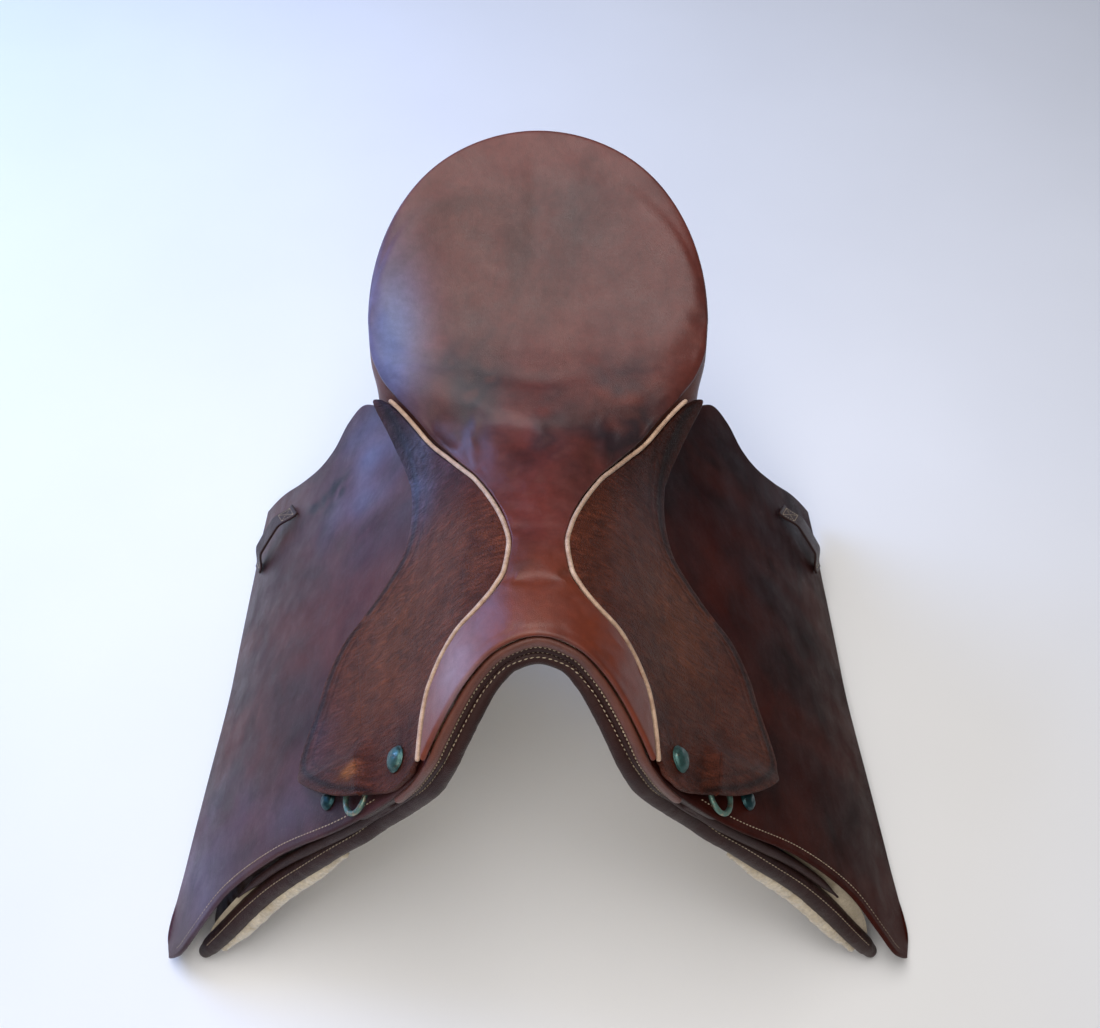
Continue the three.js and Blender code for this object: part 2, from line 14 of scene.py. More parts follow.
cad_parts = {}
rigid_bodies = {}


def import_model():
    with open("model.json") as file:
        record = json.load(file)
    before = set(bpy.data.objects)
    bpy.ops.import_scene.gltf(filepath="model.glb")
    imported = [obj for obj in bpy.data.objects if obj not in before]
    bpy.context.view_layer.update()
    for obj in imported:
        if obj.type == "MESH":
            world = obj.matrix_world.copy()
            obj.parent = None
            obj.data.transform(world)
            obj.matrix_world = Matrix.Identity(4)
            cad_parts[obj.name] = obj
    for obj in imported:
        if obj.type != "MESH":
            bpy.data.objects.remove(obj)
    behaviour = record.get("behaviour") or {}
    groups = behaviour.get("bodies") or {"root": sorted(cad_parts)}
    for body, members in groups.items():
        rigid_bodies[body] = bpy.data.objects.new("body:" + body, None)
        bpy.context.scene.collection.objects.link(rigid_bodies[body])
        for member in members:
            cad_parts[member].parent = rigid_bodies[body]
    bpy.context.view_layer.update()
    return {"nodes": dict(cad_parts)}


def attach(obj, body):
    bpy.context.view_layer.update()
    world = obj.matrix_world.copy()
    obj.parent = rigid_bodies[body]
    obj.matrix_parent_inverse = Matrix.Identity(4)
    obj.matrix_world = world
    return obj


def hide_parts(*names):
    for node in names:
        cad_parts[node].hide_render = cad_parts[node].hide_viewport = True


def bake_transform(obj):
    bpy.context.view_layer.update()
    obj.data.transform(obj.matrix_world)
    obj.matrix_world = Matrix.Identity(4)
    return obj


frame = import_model()

MM = 0.001
CENTRE_Y = 1.5
POMMEL_HEIGHT = 335.0
SEAT_HALF_WIDTH = 121.5
CANTLE_CENTRE_Y = 123.0
HINGE_FRONT = (96.0, -200.0)
HINGE_REAR = (145.0, 125.0)
SIDES = {"left": -1.0, "right": 1.0}


# ---------------------------------------------------------------- forms
def curve(stations):
    """A smooth monotone curve through a few stations, as a vectorised y(x)."""
    xs, ys = np.array(stations, float).T
    slope = np.diff(ys) / np.diff(xs)
    before, after = slope[:-1], slope[1:]
    total = np.where(before + after == 0, 1, before + after)
    middle = np.where(before * after <= 0, 0, 2 * before * after / total)
    tangent = np.concatenate([slope[:1], middle, slope[-1:]])

    def value(x):
        x = np.clip(np.asarray(x, float), xs[0], xs[-1])
        i = np.clip(np.searchsorted(xs, x, side="right") - 1, 0, len(xs) - 2)
        width = xs[i + 1] - xs[i]
        t = (x - xs[i]) / width
        return ((1 + 2 * t) * (1 - t) ** 2 * ys[i] + t * (1 - t) ** 2 * width * tangent[i]
                + t * t * (3 - 2 * t) * ys[i + 1] + t * t * (t - 1) * width * tangent[i + 1])

    return value


def lerp(a, b, t):
    return a + (b - a) * t


def smooth(t):
    t = np.clip(t, 0, 1)
    return t * t * (3 - 2 * t)


side_fall = curve([(0, 0), (20, 4), (40, 19), (60, 48), (80, 84), (110, 122), (150, 164), (200, 219),
                   (240, 268), (283, 332), (320, 392)])
ridge_dip = curve([(-260, 0), (-140, 0), (-100, 4), (-60, 13), (0, 27), (40, 33), (90, 30), (130, 15), (300, 15)])
rear_fall = curve([(-240, 0), (-170, 3), (-100, 8), (-30, 17), (60, 28), (155, 36), (300, 36)])


def steeper(x, y):
    return rear_fall(y) * (np.maximum(x - 130, 0) / 125) ** 2


def side_form(x, y):
    """The flap's and skirt's outer form."""
    across = np.abs(x) * (1 - np.exp(-(x / 9) ** 2))
    return POMMEL_HEIGHT - side_fall(across) - ridge_dip(y) * (1 - smooth(across / 100)) - steeper(across, y)


seat_centre = curve([(-140, 335), (-100, 331), (-60, 322), (0, 308), (40, 302), (90, 307), (150, 328),
                     (200, 358), (246, 391)])
seat_rim = curve([(0, 270), (40, 285), (68, 298), (95, 309), (123, 324), (152, 342), (186, 362),
                  (215, 378), (246, 391)])
seat_waist = curve([(0, 70), (20, 85), (48, 100), (68, 108), (95, 119), (CANTLE_CENTRE_Y, SEAT_HALF_WIDTH)])


def seat_half_width(y):
    along = (np.asarray(y, float) - CANTLE_CENTRE_Y) / CANTLE_CENTRE_Y
    round_part = SEAT_HALF_WIDTH * np.sqrt(np.maximum(1 - along * along, 0.0004))
    return np.where(y < CANTLE_CENTRE_Y, seat_waist(y), round_part)


def seat_form(x, y):
    across = np.minimum(np.abs(x) / seat_half_width(y), 1.15)
    dished = lerp(seat_centre(y), seat_rim(y), across ** 2.2)
    return lerp(side_form(x, y), dished, smooth((y + 20) / 90))


welt_x = curve([(-193, 66), (-186, 65.8), (-172, 65), (-154, 62.5), (-139, 55.5), (-127, 45), (-118, 32), (-108, 23),
                (-94, 17), (-73, 15), (-56, 18), (-37, 24), (-12, 35), (20, 54), (46, 76), (66, 97), (74, 108)])


def beside_welt(y, distance):
    """A plan point beside the welt's line, square to it."""
    turn = (welt_x(y + 1) - welt_x(y - 1)) / 2
    length = np.sqrt(1 + turn * turn)
    return welt_x(y) + distance / length, y - distance * turn / length


def skin_form(x, y):
    """Outside the welt the seat's side falls to the flap's form, more gently where it meets the rim."""
    reach = 24 + 16 * smooth((y - 30) / 35)
    return lerp(seat_form(x, y), side_form(x, y), smooth((np.abs(x) - welt_x(y)) / reach))


def hinge_x(y):
    return lerp(HINGE_FRONT[0], HINGE_REAR[0], (y - HINGE_FRONT[1]) / (HINGE_REAR[1] - HINGE_FRONT[1]))


def unit(v):
    """Vectors of length 1 in the same directions."""
    return v / np.maximum(np.linalg.norm(v, axis=-1, keepdims=True), 1e-9)


def lifted(form, x, y, distance):
    """The points of the form at plan (x, y), moved along its normals, in millimetres, and those normals."""
    step = 1.5
    dx = (form(x + step, y) - form(x - step, y)) / (2 * step)
    dy = (form(x, y + step) - form(x, y - step)) / (2 * step)
    n = unit(np.stack([-dx, -dy, np.ones_like(dx)], -1))
    p = np.stack([x + 0 * dx, y + 0 * dx, form(x, y)], -1)
    return p + n * np.asarray(distance)[..., None], n


def lengths_along(line):
    """Distance along a line of points, from its first point."""
    return np.concatenate([[0], np.cumsum(np.linalg.norm(np.diff(line, axis=0), axis=1))])


def spline(points, count=400):
    """A smooth line through points, as a function of 0..1 by length (centripetal Catmull-Rom)."""
    p = np.array(points, float)
    p = np.vstack([2 * p[0] - p[1], p, 2 * p[-1] - p[-2]])
    knots = np.concatenate([[0], np.cumsum(np.maximum(np.linalg.norm(np.diff(p, axis=0), axis=1), 1e-6) ** 0.5)])
    ts = np.linspace(knots[1], knots[-2], count)
    i = np.clip(np.searchsorted(knots, ts, side="right") - 1, 1, len(p) - 3)
    t = ts[:, None]
    k = [knots[i + j][:, None] for j in (-1, 0, 1, 2)]
    line = [p[i + j] for j in (-1, 0, 1, 2)]
    for reach in (1, 2):
        line = [((k[j + reach] - t) * line[j] + (t - k[j]) * line[j + 1]) / (k[j + reach] - k[j])
                for j in range(4 - reach)]
    line = ((k[2] - t) * line[0] + (t - k[1]) * line[1]) / (k[2] - k[1])
    along = lengths_along(line)
    along /= along[-1]
    return lambda v: np.stack([np.interp(v, along, line[:, j]) for j in range(line.shape[1])], -1)


def coons(inner, outer, front, rear, u, v):
    """The plan patch between four edges at grids u (inner to outer) and v (front to rear)."""
    c00, c01, c10, c11 = (f(np.array(t)) for f, t in ((inner, 0.0), (inner, 1.0), (outer, 0.0), (outer, 1.0)))
    uu, vv = u[..., None], v[..., None]
    flat = lerp(lerp(c00, c10, uu), lerp(c01, c11, uu), vv)
    return lerp(inner(v), outer(v), uu) + lerp(front(u), rear(u), vv) - flat


def grid(nu, nv, crowd=0.0, crowd_v=None):
    """Grids of u and v from 0 to 1, crowded towards the ends."""
    u, v = np.linspace(0, 1, nu), np.linspace(0, 1, nv)
    crowd_v = crowd if crowd_v is None else crowd_v
    return np.meshgrid(lerp(u, smooth(u), crowd), lerp(v, smooth(v), crowd_v), indexing="ij")


# ---------------------------------------------------------------- mesh making
def place(points):
    """Millimetres in the forms' frame to metres in the row frame."""
    return (np.asarray(points, float).reshape(-1, 3) - [0, CENTRE_Y, 0]) * MM


def new_object(name, vertices, faces, key=None):
    """A smooth mesh object, with the finish of that key."""
    mesh = bpy.data.meshes.new(name)
    mesh.from_pydata([tuple(v) for v in vertices], [], [tuple(f) for f in faces])
    mesh.update()
    obj = bpy.data.objects.new(name, mesh)
    bpy.context.scene.collection.objects.link(obj)
    smooth_shaded(obj)
    return finish(obj, key) if key else obj


def finish(obj, key):
    """Gives the piece the material of that key."""
    slot, material = FINISH[key]
    obj.data.materials.clear()
    obj.data.materials.append(material)
    return obj


def smooth_shaded(obj):
    obj.data.polygons.foreach_set("use_smooth", np.ones(len(obj.data.polygons), bool))
    obj.data.update()
    return obj


def paint(obj, colours):
    """Per-vertex colour that the material multiplies with its own fine detail."""
    attribute = obj.data.color_attributes.new("Paint", "FLOAT_COLOR", "POINT")
    rgba = np.ones((len(obj.data.vertices), 4), np.float32)
    rgba[:, :3] = colours
    attribute.data.foreach_set("color", rgba.ravel())
    return obj


def wobble(points, scale, seed=0.0):
    """Smooth noise from -1 to 1 at points in millimetres."""
    points = np.asarray(points, float)
    flat = points.reshape(-1, 3) * scale + [seed, -seed, 2 * seed]
    return np.array([noise.noise(Vector(p)) for p in flat]).reshape(points.shape[:-1])


def sheet_faces(nu, nv):
    """Faces of a front and a back sheet over a grid, and the vertices round the grid's border."""
    index = np.arange(nu * nv).reshape(nu, nv)
    quads = np.stack([index[:-1, :-1], index[1:, :-1], index[1:, 1:], index[:-1, 1:]], -1).reshape(-1, 4)
    rim = np.concatenate([index[:-1, 0], index[-1, :-1], index[:0:-1, -1], index[0, :0:-1]])
    return np.vstack([quads, quads[:, ::-1] + nu * nv]), rim


def band(a, b):
    """Faces between two closed rows of vertices."""
    return np.stack([a, b, np.roll(b, -1), np.roll(a, -1)], -1)


def slab(name, middle, thickness, key, normals=None):
    """A leather sheet with round edges about a grid of middle points."""
    nu, nv = middle.shape[:2]
    n = unit(np.cross(*np.gradient(middle, axis=(0, 1)))) if normals is None else normals
    t = np.broadcast_to(np.asarray(thickness, float), (nu, nv))[..., None]
    out = np.zeros_like(middle)
    out[0] += middle[0] - middle[1]
    out[-1] += middle[-1] - middle[-2]
    out[:, 0] += middle[:, 0] - middle[:, 1]
    out[:, -1] += middle[:, -1] - middle[:, -2]
    faces, rim = sheet_faces(nu, nv)
    rim_n, rim_p, rim_t, o = (a.reshape(nu * nv, -1)[rim] for a in (n, middle, t, out))
    o = unit(o - rim_n * np.sum(o * rim_n, axis=1, keepdims=True))
    rings = [rim_p + o * rim_t * a + rim_n * rim_t * b for a, b in ((0.3, 0.38), (0.45, 0), (0.3, -0.38))]
    points = np.vstack([(middle + n * t / 2).reshape(-1, 3), (middle - n * t / 2).reshape(-1, 3), *rings])
    loops = [rim] + [2 * nu * nv + k * len(rim) + np.arange(len(rim)) for k in range(3)] + [rim + nu * nv]
    walls = [band(a, b) for a, b in zip(loops, loops[1:])]
    return new_object(name, place(points), np.vstack([faces, *walls]), key)


def sheet_on(name, x, y, lift, thick, key, sign=1.0):
    """A leather sheet lying over the flap's form at plan grids (x, y)."""
    middle, n = lifted(side_form, x, y, lift)
    return outward(slab(name, middle * [sign, 1, 1], thick, key, n * [sign, 1, 1]))


def sweep_faces(count, sides, closed=False):
    """Faces between rings of vertices, with one over each end unless the sweep is closed."""
    index = np.arange(count * sides).reshape(count, sides)
    near, far = (index, np.roll(index, -1, 0)) if closed else (index[:-1], index[1:])
    faces = np.stack([near, np.roll(near, -1, 1), np.roll(far, -1, 1), far], -1).reshape(-1, 4).tolist()
    return faces if closed else faces + [index[0, ::-1].tolist(), index[-1].tolist()]


def sweep(name, rows, key, closed=False):
    """A solid through rings of points in millimetres."""
    return outward(new_object(name, place(rows), sweep_faces(*rows.shape[:2], closed), key))


def around(sides, a, b):
    """Offsets of length 1 round a circle, from direction a towards b."""
    angle = np.linspace(0, 2 * np.pi, sides, endpoint=False)[:, None]
    return np.cos(angle) * a[..., None, :] + np.sin(angle) * b[..., None, :]


def tube(name, path, radius, key, sides=12, closed=False):
    """A round tube along points, with domed ends unless it is closed."""
    radii = np.broadcast_to(np.asarray(radius, float), (len(path),))
    tangent = unit(np.roll(path, -1, 0) - np.roll(path, 1, 0) if closed else np.gradient(path, axis=0))
    right = unit(np.cross(tangent, [0.13, 0.21, 0.97]))
    ring = around(sides, right, np.cross(right, tangent))
    points = path[:, None] + ring * radii[:, None, None]
    if not closed:
        domes = [[path[at] + ring[at] * radii[at] * np.cos(a) + sign * tangent[at] * radii[at] * np.sin(a)
                  for a in (0.5, 1.0, 1.4)] for at, sign in ((0, -1), (-1, 1))]
        points = np.concatenate([np.array(domes[0][::-1]), points, np.array(domes[1])])
    return sweep(name, points, key, closed)


def stitches(name, lines, pitch, length, width, sink=0.2):
    """Rows of separate thread stitches lying along lines, each a pair of points and surface normals."""
    rings, sides = 5, 6
    a = np.linspace(-1, 1, rings)[:, None, None]
    swell = np.sqrt(np.maximum(1 - a * a, 0.04))
    pattern = sweep_faces(rings, sides)
    verts, faces = [], []
    for path, normals in lines:
        along = lengths_along(path)
        count = max(int(along[-1] / pitch), 2)

        def at(s, rows):
            return np.array([np.interp(s, along, rows[:, k]) for k in range(3)])

        for s in (np.arange(count) + 0.5) * along[-1] / count:
            ahead = 0.0 if s + 0.5 > along[-1] else 0.5
            t = unit(at(s + ahead, path) - at(s + ahead - 0.5, path))
            n = at(s, normals)
            n = unit(n - t * (n @ t))
            b = np.cross(n, t)
            faces += [[len(verts) + k for k in face] for face in pattern]
            points = (at(s, path) + (t + b * 0.12) * a * length / 2 + around(sides, b, n) * width / 2 * swell
                      + n * ((swell - 0.45) * width * 0.55 - sink))
            verts.extend(points.reshape(-1, 3))
    return new_object(name, place(verts), faces, "thread")


# ---------------------------------------------------------------- materials
class Recipe:
    """A new material, with short ways to add the nodes it is made of."""

    def __init__(self, name):
        self.material = bpy.data.materials.new(name)
        self.material.use_nodes = True
        self.tree = self.material.node_tree
        self.coords = self.node("ShaderNodeTexCoord").outputs["Object"]

    def set(self, node, inputs):
        """Gives a node's inputs their values or links."""
        for key, value in inputs.items():
            if isinstance(value, bpy.types.NodeSocket):
                self.tree.links.new(value, node.inputs[key])
            else:
                node.inputs[key].default_value = value

    def node(self, kind, inputs=None, **settings):
        node = self.tree.nodes.new(kind)
        for key, value in settings.items():
            setattr(node, key, value)
        self.set(node, inputs or {})
        return node

    def noise(self, scale, detail=4.0, rough=0.55, stretch=None, distortion=0.0):
        at = self.coords
        if stretch:
            at = self.node("ShaderNodeMapping", {"Vector": at, "Scale": stretch}).outputs["Vector"]
        values = {"Vector": at, "Scale": scale, "Detail": detail, "Roughness": rough, "Distortion": distortion}
        return self.node("ShaderNodeTexNoise", values).outputs["Fac"]

    def ramp(self, source, *stops):
        """Colours from stops of (position, grey value or colour)."""
        node = self.node("ShaderNodeValToRGB", {"Fac": source})
        elements = node.color_ramp.elements
        while len(elements) < len(stops):
            elements.new(0.5)
        for element, (at, value) in zip(elements, stops):
            element.position = at
            element.color = (*value, 1) if isinstance(value, tuple) else (value, value, value, 1)
        return node.outputs["Color"]

    def mix(self, kind, factor, a, b):
        a, b = ((*c, 1) if isinstance(c, tuple) else c for c in (a, b))
        node = self.node("ShaderNodeMix", {0: factor}, data_type="RGBA", blend_type=kind)
        self.set(node, {6: a, 7: b})
        return node.outputs[2]

    def surface(self, *layers, **inputs):
        """Sets the shader's inputs and its bumps of (height, distance in metres, strength), coarse first."""
        for height, distance, strength in layers:
            bump = self.node("ShaderNodeBump", {"Height": height, "Distance": distance, "Strength": strength})
            if "Normal" in inputs:
                self.set(bump, {"Normal": inputs["Normal"]})
            inputs["Normal"] = bump.outputs["Normal"]
        shader = self.tree.nodes["Principled BSDF"]
        self.set(shader, {key.replace("_", " "): value for key, value in inputs.items()})
        return self.material


def leather(name, rough, grain, grain_scale, coat, ior=1.4, mottle=0.3, wrinkle=0.0, base=None):
    """Worn saddle leather: painted or plain base colour, mottling, rubbed dark patches, scratches, pebble grain."""
    m = Recipe(name)
    colour = base or m.node("ShaderNodeVertexColor", layer_name="Paint").outputs["Color"]
    patches = m.ramp(m.noise(14, 5, 0.6, distortion=0.8), (0.3, 1 - mottle), (0.5, 1.0), (0.72, 1 + mottle * 0.5))
    colour = m.mix("MULTIPLY", 1.0, colour, patches)
    colour = m.mix("MULTIPLY", 0.7, colour, m.ramp(m.noise(170, 6, 0.65), (0.3, 0.78), (0.7, 1.2)))
    scratch = m.ramp(m.noise(55, 2, 0.4, (1, 9, 1), 1.2), (0.49, 0), (0.5, 1), (0.51, 0))
    worn = m.ramp(m.noise(9, 3, 0.5), (0.5, 0), (0.66, 1))
    scratched = m.mix("MULTIPLY", 1.0, m.mix("MULTIPLY", 1.0, scratch, worn), (0.14, 0.14, 0.14))
    colour = m.mix("MIX", scratched, colour, (0.3, 0.17, 0.11))
    layers = [(m.noise(60, 4, 0.5), 0.0016, 0.25)]
    if wrinkle:
        creases = m.noise(400, 3, 0.55, (0.22, 1.0, 0.22), 0.7)
        # Painted light and shade: the creases' valleys are darkened and their ridges lightened in the colour, besides
        # their bump.
        crease_light_and_shade = m.ramp(creases, (0.36, 0.78), (0.52, 1.0), (0.64, 1.45))
        colour = m.mix("MULTIPLY", wrinkle, colour, crease_light_and_shade)
        layers.append((creases, 0.0022, wrinkle))
    cells = m.node("ShaderNodeTexVoronoi", feature="DISTANCE_TO_EDGE")
    m.set(cells, {"Scale": grain_scale, "Vector": m.coords})
    layers.append((m.ramp(cells.outputs["Distance"], (0.0, 0), (0.22, 1)), 0.0008, grain))
    layers.append((m.noise(2300, 2, 0.5), 0.0001, 0.3))
    gloss = m.ramp(m.noise(38, 6, 0.6), (0.3, rough[0]), (0.7, rough[1]))
    return m.surface(*layers, Base_Color=colour, Roughness=gloss, IOR=ior, Coat_Weight=coat, Coat_Roughness=0.32)


def fibre(name, light, dark, scale, bump_scale, strength, rough=0.95, sheen=0.4):
    """Wool, canvas and thread."""
    m = Recipe(name)
    tone = m.ramp(m.noise(scale, 6, 0.65), (0.3, dark), (0.65, light))
    fine = m.ramp(m.noise(bump_scale, 3, 0.6), (0.3, 0.72), (0.7, 1.15))
    return m.surface((m.noise(bump_scale * 0.3, 4, 0.6), 0.002, strength),
                     (m.noise(bump_scale, 3, 0.6), 0.0006, strength),
                     Base_Color=m.mix("MULTIPLY", 0.8, tone, fine), Roughness=rough, Sheen_Weight=sheen)


def metal(name, clean, tarnish, amount, rough=(0.25, 0.6), scale=260.0):
    """Metal under patchy tarnish."""
    m = Recipe(name)
    cover = m.noise(scale, 6, 0.7)
    mask = m.ramp(cover, (0.62 - amount * 0.4, 0), (0.72 - amount * 0.4, 1))
    fine = m.ramp(m.noise(scale * 5, 4, 0.6), (0.3, 0.65), (0.7, 1.25))
    return m.surface((cover, 0.0004, 0.35), (m.noise(scale * 6, 3, 0.6), 0.00015, 0.4),
                     Base_Color=m.mix("MULTIPLY", 0.8, m.mix("MIX", mask, clean, tarnish), fine),
                     Metallic=m.ramp(cover, (0.35, 0.95), (0.7, 0.35)),
                     Roughness=m.ramp(cover, (0.35, rough[0]), (0.7, rough[1])))


def wood(name):
    m = Recipe(name)
    rings = m.noise(60, 5, 0.6, (3.0, 0.35, 3.0), 0.6)
    colour = m.ramp(rings, (0.3, (0.3, 0.17, 0.08)), (0.55, (0.52, 0.33, 0.17)), (0.75, (0.6, 0.42, 0.25)))
    return m.surface((rings, 0.0004, 0.4), Base_Color=colour, Roughness=0.65)


# Each key's material slot in the record, and its material
FINISH = {
    "seat": ("seat_leather", leather("seat_leather", (0.34, 0.52), 0.16, 1100, 0.14, mottle=0.34)),
    "flap": ("flap_leather", leather("flap_leather", (0.32, 0.52), 0.2, 950, 0.0, 1.3, mottle=0.55)),
    "flap_off": ("flap_leather", leather("flap_leather_off", (0.36, 0.56), 0.2, 950, 0.0, 1.1, mottle=0.55)),
    "skirt": ("skirt_leather", leather("skirt_leather", (0.4, 0.58), 0.7, 560, 0.0, 1.24, wrinkle=0.9)),
    "dark": ("dark_leather", leather("dark_leather", (0.34, 0.55), 0.3, 800, 0.05, 1.25, base=(0.03, 0.011, 0.009))),
    "brown": ("seat_leather", leather("brown_leather", (0.34, 0.5), 0.3, 800, 0.2, base=(0.12, 0.036, 0.022))),
    "strap": ("strap_leather", leather("strap_leather", (0.45, 0.65), 0.35, 700, 0.05, base=(0.11, 0.045, 0.02))),
    "panel": ("dark_leather", leather("panel_leather", (0.42, 0.62), 0.5, 600, 0.08, wrinkle=0.35,
                                      base=(0.035, 0.016, 0.011))),
    "piping": ("piping", fibre("piping", (0.62, 0.42, 0.29), (0.33, 0.19, 0.12), 130, 1400, 0.35, 0.6, 0.1)),
    "thread": ("piping", fibre("thread", (0.62, 0.5, 0.34), (0.34, 0.24, 0.14), 300, 2600, 0.6, 0.8, 0.2)),
    "wool": ("wool_lining", fibre("wool", (0.74, 0.63, 0.46), (0.46, 0.37, 0.24), 60, 420, 0.9, sheen=0.7)),
    "canvas": ("canvas_web", fibre("canvas", (0.62, 0.52, 0.37), (0.4, 0.32, 0.2), 90, 1500, 0.5)),
    "verdigris": ("tarnished_nickel", metal("verdigris", (0.13, 0.15, 0.13), (0.045, 0.11, 0.1), 0.65, (0.28, 0.6))),
    "dark_verdigris": ("tarnished_nickel", metal("dark_verdigris", (0.05, 0.07, 0.07), (0.014, 0.055, 0.06), 0.65,
                                                 (0.25, 0.55))),
    "pale_verdigris": ("tarnished_nickel", metal("pale_verdigris", (0.3, 0.27, 0.19), (0.12, 0.22, 0.18), 0.55,
                                                 (0.35, 0.7))),
    "steel": ("", metal("steel", (0.38, 0.37, 0.36), (0.16, 0.12, 0.1), 0.35, (0.28, 0.6), 120)),
    "wood": ("", wood("beech")),
}
FINISH["cantle"] = ("dark_leather", FINISH["brown"][1])


# ---------------------------------------------------------------- piece helpers
def linear(code):
    """A colour written as six hexadecimal digits, in linear light."""
    values = [int(code[i:i + 2], 16) / 255 for i in (0, 2, 4)]
    return np.array([v / 12.92 if v < 0.04045 else ((v + 0.055) / 1.055) ** 2.4 for v in values])


def shade(base, *layers):
    """Blend colours over a base: layers are (weights, colour)."""
    out = np.broadcast_to(base, (len(layers[0][0]), 3)).copy()
    for weight, colour in layers:
        w = np.clip(np.asarray(weight), 0, 1)[:, None]
        out = out * (1 - w) + np.asarray(colour)[None] * w
    return out


def spot(x, y, at_x, at_y, reach_x, reach_y=None):
    reach_y = reach_y or reach_x
    return np.exp(-((x - at_x) / reach_x) ** 2 - ((y - at_y) / reach_y) ** 2)


def read(obj, what):
    """Each vertex's co or normal."""
    values = np.empty(len(obj.data.vertices) * 3)
    obj.data.vertices.foreach_get(what, values)
    return values.reshape(-1, 3)


def plan_of(obj):
    """Each vertex in the forms' millimetres."""
    return read(obj, "co") / MM + [0, CENTRE_Y, 0]


def move(obj, points):
    """Moves the vertices to points in the forms' millimetres."""
    obj.data.vertices.foreach_set("co", place(points).ravel())
    obj.data.update()
    return obj


def mirror(obj, name):
    """The near-side copy of an off-side piece."""
    mesh = obj.data.copy()
    mesh.name = name
    mesh.transform(Matrix.Scale(-1, 4, (1, 0, 0)))
    mesh.flip_normals()
    copy = bpy.data.objects.new(name, mesh)
    bpy.context.scene.collection.objects.link(copy)
    return copy


def settle(obj):
    """Applies the object's modifiers to its mesh."""
    evaluated = obj.evaluated_get(bpy.context.evaluated_depsgraph_get())
    mesh = bpy.data.meshes.new_from_object(evaluated)
    old = obj.data
    obj.modifiers.clear()
    obj.data = mesh
    bpy.data.meshes.remove(old)
    return obj


def subdivide(obj, levels=1):
    modifier = obj.modifiers.new("Subdivision", "SUBSURF")
    modifier.levels = levels
    modifier.render_levels = levels
    return settle(obj)


def inflate(obj, pressure, cap, free=None, shrink=0.0):
    """Blows a closed soft form out with cloth under pressure, at most `cap` mm. Vertices without free weight stay."""
    scene = bpy.context.scene
    before = plan_of(obj)
    cloth = obj.modifiers.new("Cloth", "CLOTH")
    for key, value in {"quality": 6, "mass": 0.3, "tension_stiffness": 15.0, "compression_stiffness": 15.0,
                       "shear_stiffness": 7.5, "bending_stiffness": 0.6, "use_pressure": True,
                       "uniform_pressure_force": pressure, "shrink_min": shrink}.items():
        setattr(cloth.settings, key, value)
    cloth.settings.effector_weights.gravity = 0
    cloth.collision_settings.use_collision = False
    if free is not None:
        pins = obj.vertex_groups.new(name="Pins")
        pins.add(np.nonzero(free < 0.5)[0].tolist(), 1.0, "REPLACE")
        cloth.settings.vertex_group_mass = "Pins"
    for step in range(1, 21):
        scene.frame_set(step)
    evaluated = obj.evaluated_get(bpy.context.evaluated_depsgraph_get())
    moved = plan_of(evaluated) - before
    obj.modifiers.remove(cloth)
    obj.vertex_groups.clear()
    scene.frame_set(1)
    length = np.linalg.norm(moved, axis=1, keepdims=True)
    moved *= cap * np.tanh(length / cap) / np.maximum(length, 1e-6)
    if free is not None:
        moved *= free[:, None]
    return move(obj, before + moved)


def remesh(obj, voxel):
    modifier = obj.modifiers.new("Remesh", "REMESH")
    modifier.mode = "VOXEL"
    modifier.voxel_size = voxel * MM
    modifier.use_smooth_shade = True
    return settle(obj)


def shift_along_normals(obj, amount):
    """Moves each vertex along its normal by so many mm."""
    return move(obj, plan_of(obj) + read(obj, "normal") * np.asarray(amount)[:, None])


def bead(name, path, normals, half_high, half_wide, key, sides=14, power=2.6):
    """A rounded strip along a path, half_high along the normals and half_wide across them."""
    tangent = unit(np.gradient(path, axis=0))
    n = unit(normals - tangent * np.sum(normals * tangent, axis=1, keepdims=True))
    b = np.cross(tangent, n)
    angle = np.linspace(0, 2 * np.pi, sides, endpoint=False)[:, None]
    wide, high = (np.sign(w) * np.abs(w) ** (2 / power) for w in (np.cos(angle), np.sin(angle)))
    taper = np.ones((len(path), 1, 1))
    taper[0] = taper[-1] = 0.72
    rows = (path[:, None] + b[:, None] * wide * half_wide[:, None, None] * taper
            + n[:, None] * high * half_high * taper)
    return sweep(name, rows, key)


def outward(obj):
    """Turns every face outward on a closed mesh."""
    bm = bmesh.new()
    bm.from_mesh(obj.data)
    bmesh.ops.recalc_face_normals(bm, faces=bm.faces)
    bm.to_mesh(obj.data)
    bm.free()
    return obj


def lathe(name, profile, centre, axis, key=None, sides=40, dent=0.0, seed=0.0):
    """A solid of revolution from (radius, height) stations in mm about an axis at a centre."""
    axis = unit(axis)
    e1 = unit(np.cross(axis, [0.0, 1.0, 0.0]))
    ring = around(sides, e1, np.cross(axis, e1))
    rows = np.array([centre + ring * r + axis * h for r, h in profile])
    rows += axis * (wobble(rows, 0.35, seed) * dent)[..., None]
    return sweep(name, rows, key)


def frame_at(x, y, lift):
    """Point, slope tangent and normal of the flap's form at an off-side plan point."""
    p, n = lifted(side_form, x, y, lift)
    return p, unit(np.array([n[2], 0, -n[0]])), n


def seated(obj, body, *nodes):
    """The piece rides on a body and stands for CAD nodes."""
    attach(obj, body)
    if nodes:
        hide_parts(*nodes)
    return obj


def both(make, body, *nodes):
    """A piece for each side. `make` takes the side's name and sign, and {} stands for left or right."""
    for name, sign in SIDES.items():
        seated(make(name, sign), body.format(name), *[node.format(name) for node in nodes])


def pair(master, near_name):
    """The near-side mirror image and the off-side piece, each with its side's name and sign."""
    return [("left", -1.0, mirror(master, near_name)), ("right", 1.0, master)]


def across_hinge(distance):
    """A point square to the hinge line in plan, so many mm outside it, for the off side."""
    along = unit(np.subtract(HINGE_REAR, HINGE_FRONT))
    x, y = hinge_x(-60.0), -60.0
    return np.array([x + along[1] * distance, y - along[0] * distance, side_form(x, y)])


